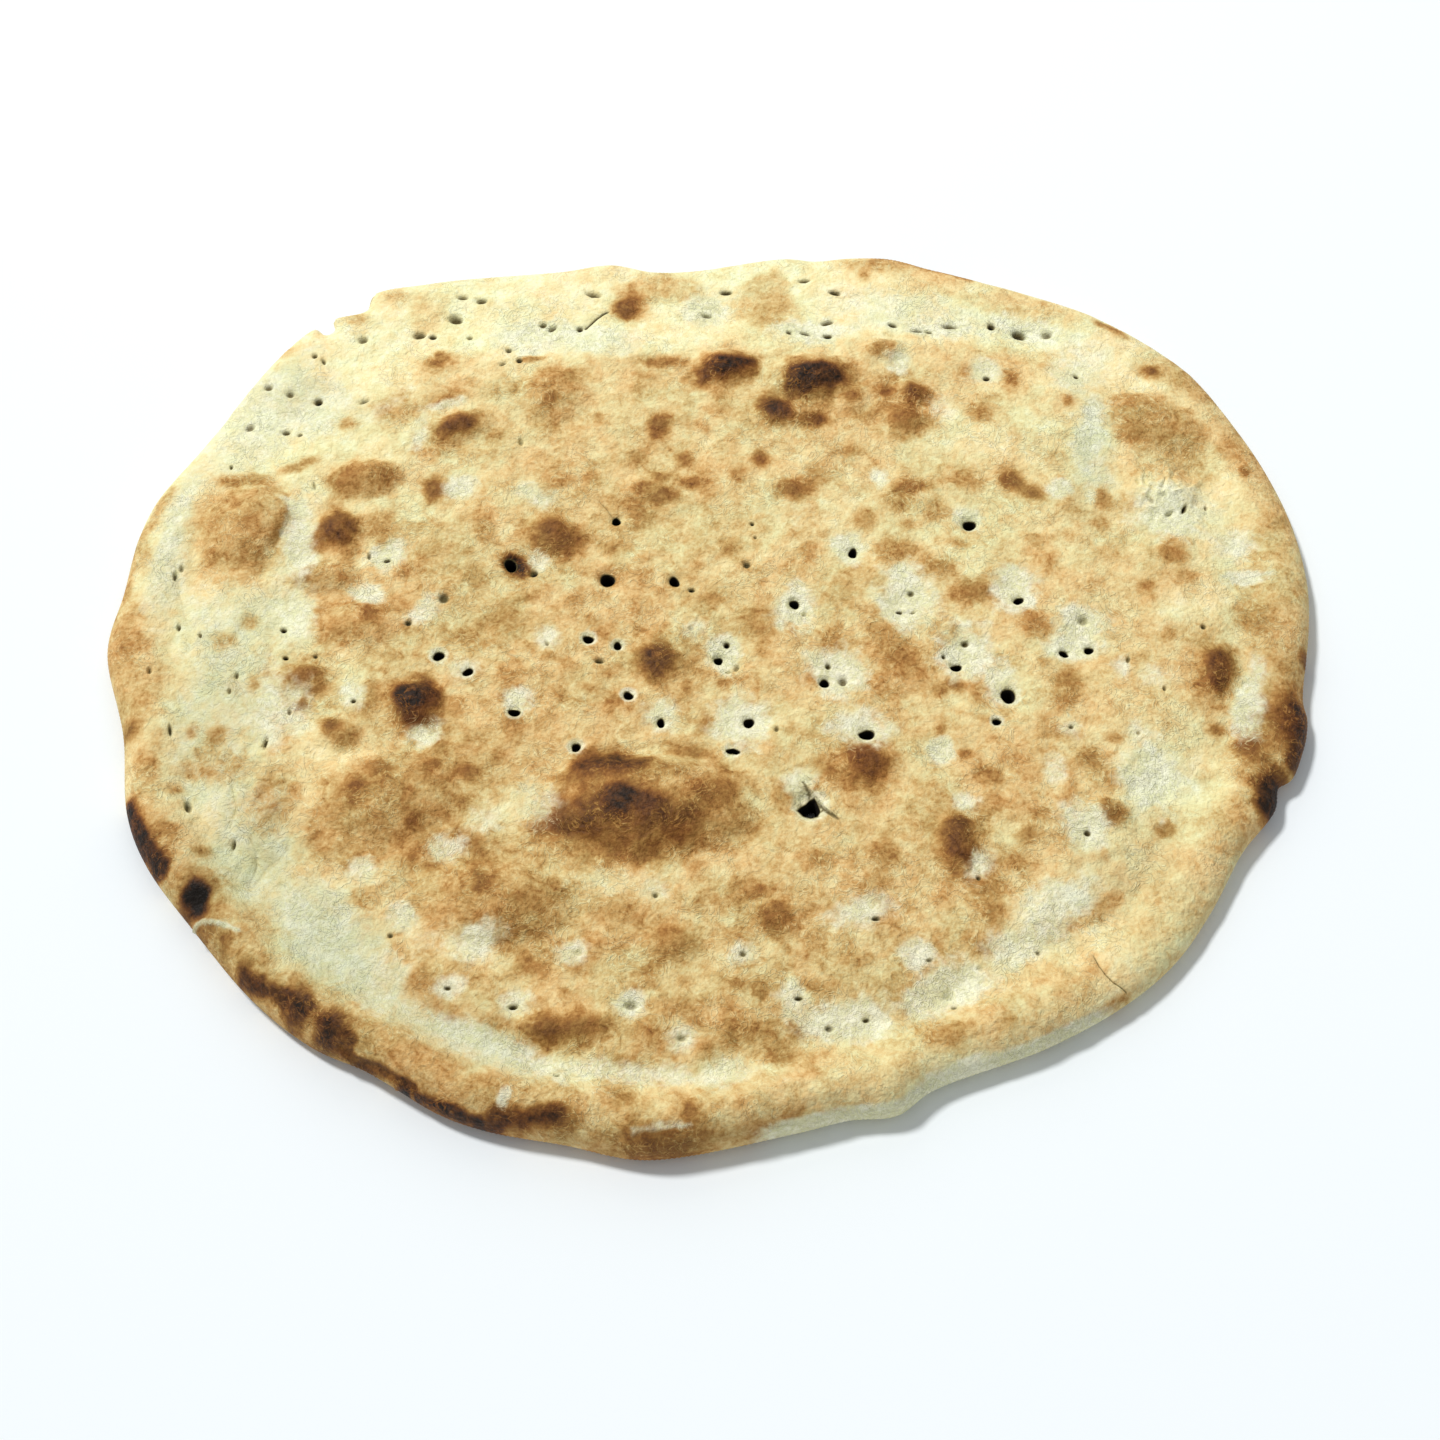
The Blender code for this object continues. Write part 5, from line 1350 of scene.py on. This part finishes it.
def loaf_mesh():
    """The closed loaf with its holes, and the values that its material reads at each point."""
    crust = Crust(edge_curve(EDGE_STEP))
    loops = hole_loops(crust)
    marks = placed_marks(crust)
    upper, faces, upper_values = upper_skin(crust, loops, marks)
    under, under_faces, under_values = under_skin(crust.edge, loops, marks)

    # Points in the order: upper skin, under skin less the shared edge, then the hole walls
    rim_count, base = len(crust.edge), len(upper)

    def under_index(i):
        return i if i < rim_count else i - rim_count + base

    faces += [[under_index(i) for i in reversed(face)] for face in under_faces]
    walls, wall_faces = hole_walls(loops, upper, under, under_index, rim_count,
                                   base + len(under) - rim_count)
    points = np.vstack([upper, under[rim_count:], walls]) * MM

    mesh = bpy.data.meshes.new("loaf")
    mesh.from_pydata([tuple(p) for p in points], [], faces + wall_faces)
    mesh.validate()
    mesh.shade_smooth()
    mesh.set_sharp_from_angle(angle=math.radians(SHARP_ANGLE))
    for name, above, below in zip(VALUES, upper_values, under_values):
        # The hole walls get full painted shade
        wall = np.full(len(walls), WALL_SHADE if name == "pit_shade" else 0.0)
        attribute = mesh.attributes.new(name, "FLOAT", "POINT")
        attribute.data.foreach_set("value", np.concatenate([above, below, wall]))
    return mesh


def linear(colour):
    """A screen colour of 0 to 255 as the shader's linear red, green, blue and alpha."""
    parts = [c / 255.0 for c in colour]
    return [p / 12.92 if p <= 0.04045 else ((p + 0.055) / 1.055) ** 2.4 for p in parts] + [1.0]


class Nodes:
    """Short ways to add and join the nodes of one material."""

    def __init__(self, name):
        self.material = bpy.data.materials.new(name)
        self.material.use_nodes = True
        self.tree = self.material.node_tree
        self.shader = self.tree.nodes["Principled BSDF"]

    def add(self, kind, **settings):
        node = self.tree.nodes.new(kind)
        for key, value in settings.items():
            setattr(node, key, value)
        return node

    def put(self, socket, value):
        """A number or colour is set on the socket; another node's output is joined to it."""
        if isinstance(value, bpy.types.NodeSocket):
            self.tree.links.new(value, socket)
        else:
            socket.default_value = value

    def value(self, name):
        """A value that the mesh holds at each point."""
        node = self.add("ShaderNodeAttribute", attribute_type="GEOMETRY", attribute_name=name)
        return node.outputs["Fac"]

    def math(self, operation, a, b=0.0, c=0.0, clamp=False):
        node = self.add("ShaderNodeMath", operation=operation, use_clamp=clamp)
        for socket, part in zip(node.inputs, (a, b, c)):
            self.put(socket, part)
        return node.outputs[0]

    def plus(self, a, b):
        return self.math("ADD", a, b)

    def less(self, a, b, clamp=False):
        return self.math("SUBTRACT", a, b, clamp=clamp)

    def times(self, a, b):
        return self.math("MULTIPLY", a, b)

    def step(self, value, low, high):
        """0 below low, 1 above high and smooth between."""
        node = self.add("ShaderNodeMapRange", interpolation_type="SMOOTHSTEP")
        for key, part in (("Value", value), ("From Min", low), ("From Max", high)):
            self.put(node.inputs[key], part)
        return node.outputs["Result"]

    def noise(self, spacing, detail, roughness, distortion, shift):
        """Noise about 0 whose swells are spacing millimetres apart."""
        place = self.add("ShaderNodeTexCoord").outputs["Object"]
        if shift:
            moved = self.add("ShaderNodeVectorMath", operation="ADD")
            self.put(moved.inputs[0], place)
            moved.inputs[1].default_value = (shift, shift, shift)
            place = moved.outputs[0]
        node = self.add("ShaderNodeTexNoise")
        self.put(node.inputs["Vector"], place)
        for key, part in (("Scale", 1.0 / (spacing * MM)), ("Detail", detail),
                          ("Roughness", roughness), ("Distortion", distortion)):
            node.inputs[key].default_value = part
        return self.less(node.outputs["Fac"], 0.5)

    def thin_lines(self, look, width):
        """1 along the thin lines where a noise passes 0, and 0 beyond their width."""
        return self.less(1.0, self.step(self.math("ABSOLUTE", self.noise(*look)), 0.0, width))

    def mix(self, share, a, b, blend="MIX"):
        node = self.add("ShaderNodeMix", data_type="RGBA", blend_type=blend)
        for socket, part in zip((node.inputs[0], node.inputs[6], node.inputs[7]), (share, a, b)):
            self.put(socket, part)
        return node.outputs[2]

    def ramp(self, value, colours):
        """Colour stops of (place, red, green, blue) along a value."""
        node = self.add("ShaderNodeValToRGB")
        stops = node.color_ramp.elements
        for place, *colour in colours[1:-1]:
            stops.new(place).color = linear(colour)
        stops[0].position, stops[0].color = colours[0][0], linear(colours[0][1:])
        stops[-1].position, stops[-1].color = colours[-1][0], linear(colours[-1][1:])
        self.put(node.inputs[0], value)
        return node.outputs[0]


def crust_material():
    """Baked dough: browning in blotches, pale pressed dough, a scorched rim, painted shade in the pits,
    creases, holes and shaded places, and painted highlight on the crinkles.
    """
    n = Nodes("baked_crust")
    bake, pale, painted_shade, pit_shade, under = (n.value(name) for name in VALUES)

    # Mottling, calmer where the crust is scorched or pale, with thin pale wisps through it
    coarse = n.times(n.noise(*COARSE), COARSE_H)
    fine = n.times(n.noise(*FINE), FINE_H)
    mottle = n.plus(n.plus(fine, coarse), n.times(n.noise(*SPECK), SPECK_H))
    scorched = n.step(bake, *SCORCHED)
    calm = n.less(n.less(1.0, n.times(pale, PALE_CALM)), n.times(scorched, SCORCH_CALM))
    wisp = n.times(n.thin_lines(WISP, WISP_WIDTH), n.step(n.noise(*WISP_PLACES), *WISP_STEP))
    level = n.plus(bake, n.times(mottle, calm))
    level = n.less(level, n.times(wisp, WISP_LIGHTER), clamp=True)
    colour = n.ramp(level, CRUST_COLOURS)

    # The golden tone drifts between warm and green
    for look, warm, green in DRIFT:
        drift = n.mix(n.step(n.noise(*look), -DRIFT_STEP, DRIFT_STEP), linear(warm), linear(green))
        colour = n.mix(1.0, colour, drift, "MULTIPLY")

    # Pale pressed dough, its edge broken up by the mottling
    uneven = n.plus(coarse, n.times(fine, PALE_FINE))
    pale_share = n.step(n.less(n.plus(pale, n.times(wisp, PALE_WISP)), uneven), *PALE_STEP)
    pale_share = n.times(pale_share, n.less(1.0, n.step(level, *PALE_BROWNED)))
    light = n.plus(n.noise(*LIGHT_FINE), n.times(n.noise(*LIGHT_BROAD), LIGHT_BROAD_H))
    pale_tone = n.mix(n.step(light, *LIGHT_STEP), linear(PALE_COLOUR), linear(PALE_BRIGHT))
    # The crinkles are raised by the bump and carry a painted highlight
    crinkle = n.times(n.thin_lines(CRINKLE, CRINKLE_WIDTH), pale_share)
    pale_tone = n.mix(n.times(crinkle, CRINKLE_HIGHLIGHT_SHARE), pale_tone, linear(CRINKLE_HIGHLIGHT_COLOUR))
    colour = n.mix(n.times(pale_share, PALE_COVER), colour, pale_tone)
    # Painted shade: the shaded places are multiplied down to a grey green
    colour = n.mix(painted_shade, colour, n.mix(1.0, colour, linear(PAINTED_SHADE_TINT), "MULTIPLY"))

    # The underside: paler, dusted with flour, with toasted blotches where it touched the oven
    toast = n.step(n.plus(n.noise(*TOAST), n.times(fine, TOAST_FINE)), *TOAST_STEP)
    sole = n.ramp(n.plus(n.plus(bake, n.times(toast, TOAST_LEVEL)), mottle), CRUST_COLOURS)
    flour = n.step(n.noise(*FLOUR), *FLOUR_STEP)
    sole = n.mix(n.times(flour, FLOUR_COVER), sole, linear(FLOUR_COLOUR))
    colour = n.mix(under, colour, sole)

    # Painted shade: pits, creases and holes go olive brown, then nearly black
    colour = n.mix(n.step(pit_shade, *PIT_SHADE_OLIVE), colour, linear(PIT_SHADE_COLOUR))
    colour = n.mix(n.step(pit_shade, *PIT_SHADE_BLACK), colour, linear(DEEP_SHADE_COLOUR))
    n.put(n.shader.inputs["Base Color"], colour)

    # Scorched crust is shinier than floury crust
    gloss = n.plus(n.times(n.step(level, *SHINY), -SHINE), n.times(fine, ROUGH_FINE))
    n.put(n.shader.inputs["Roughness"], n.plus(gloss, ROUGHNESS))
    n.shader.inputs["Specular IOR Level"].default_value = SPECULAR

    bump = n.add("ShaderNodeBump")
    bump.inputs["Strength"].default_value = 1.0
    bump.inputs["Distance"].default_value = BUMP_H * MM
    grain = n.plus(n.times(n.noise(*BUMP_FINE), BUMP_FINE_H), n.times(n.noise(*BUMP_COARSE), BUMP_COARSE_H))
    grain = n.plus(grain, n.times(wisp, BUMP_WISP))
    grain = n.plus(grain, n.times(crinkle, BUMP_CRINKLE))
    n.put(bump.inputs["Height"], grain)
    n.put(n.shader.inputs["Normal"], bump.outputs["Normal"])
    return n.material


def make_loaf():
    loaf = bpy.data.objects.new("loaf", loaf_mesh())
    bpy.context.scene.collection.objects.link(loaf)
    loaf.data.materials.append(crust_material())
    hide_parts("bread")
    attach(loaf, "root")


def make_floor():
    """A wide pale floor that the loaf lies on."""
    bpy.ops.mesh.primitive_circle_add(vertices=FLOOR_SIDES, radius=FLOOR_RADIUS, fill_type="NGON")
    floor = bpy.context.object
    floor.name = "floor"
    n = Nodes("pale_floor")
    n.shader.inputs["Base Color"].default_value = linear(FLOOR_COLOUR)
    n.shader.inputs["Roughness"].default_value = FLOOR_ROUGHNESS
    n.shader.inputs["Specular IOR Level"].default_value = FLOOR_SPECULAR
    floor.data.materials.append(n.material)


def make_camera():
    camera = bpy.data.objects.new("camera", bpy.data.cameras.new("camera"))
    camera.data.lens = LENS
    camera.data.sensor_width = SENSOR_WIDTH
    camera.location = CAMERA_AT
    camera.rotation_euler = (math.radians(90.0 - CAMERA_TILT), 0.0, 0.0)
    bpy.context.scene.collection.objects.link(camera)
    bpy.context.scene.camera = camera


def add_light(name, kind, strength, travel):
    """A light that shines along its direction of travel."""
    light = bpy.data.objects.new(name, bpy.data.lights.new(name, kind))
    light.data.energy = strength
    light.rotation_euler = travel.to_track_quat("-Z", "Y").to_euler()
    bpy.context.scene.collection.objects.link(light)
    return light


def make_light():
    key = add_light("key", "SUN", KEY_STRENGTH, Vector(KEY_TRAVEL))
    key.data.angle = math.radians(KEY_SPREAD)
    back = add_light("back", "AREA", BACK_POWER, -Vector(BACK_AT))
    back.data.size = BACK_SIZE
    back.location = BACK_AT
    world = bpy.data.worlds.new("room")
    world.use_nodes = True
    room = world.node_tree.nodes["Background"]
    room.inputs["Color"].default_value = ROOM_COLOUR
    room.inputs["Strength"].default_value = ROOM_STRENGTH
    bpy.context.scene.world = world
    bpy.context.scene.view_settings.view_transform = "Standard"


make_loaf()
make_floor()
make_camera()
make_light()
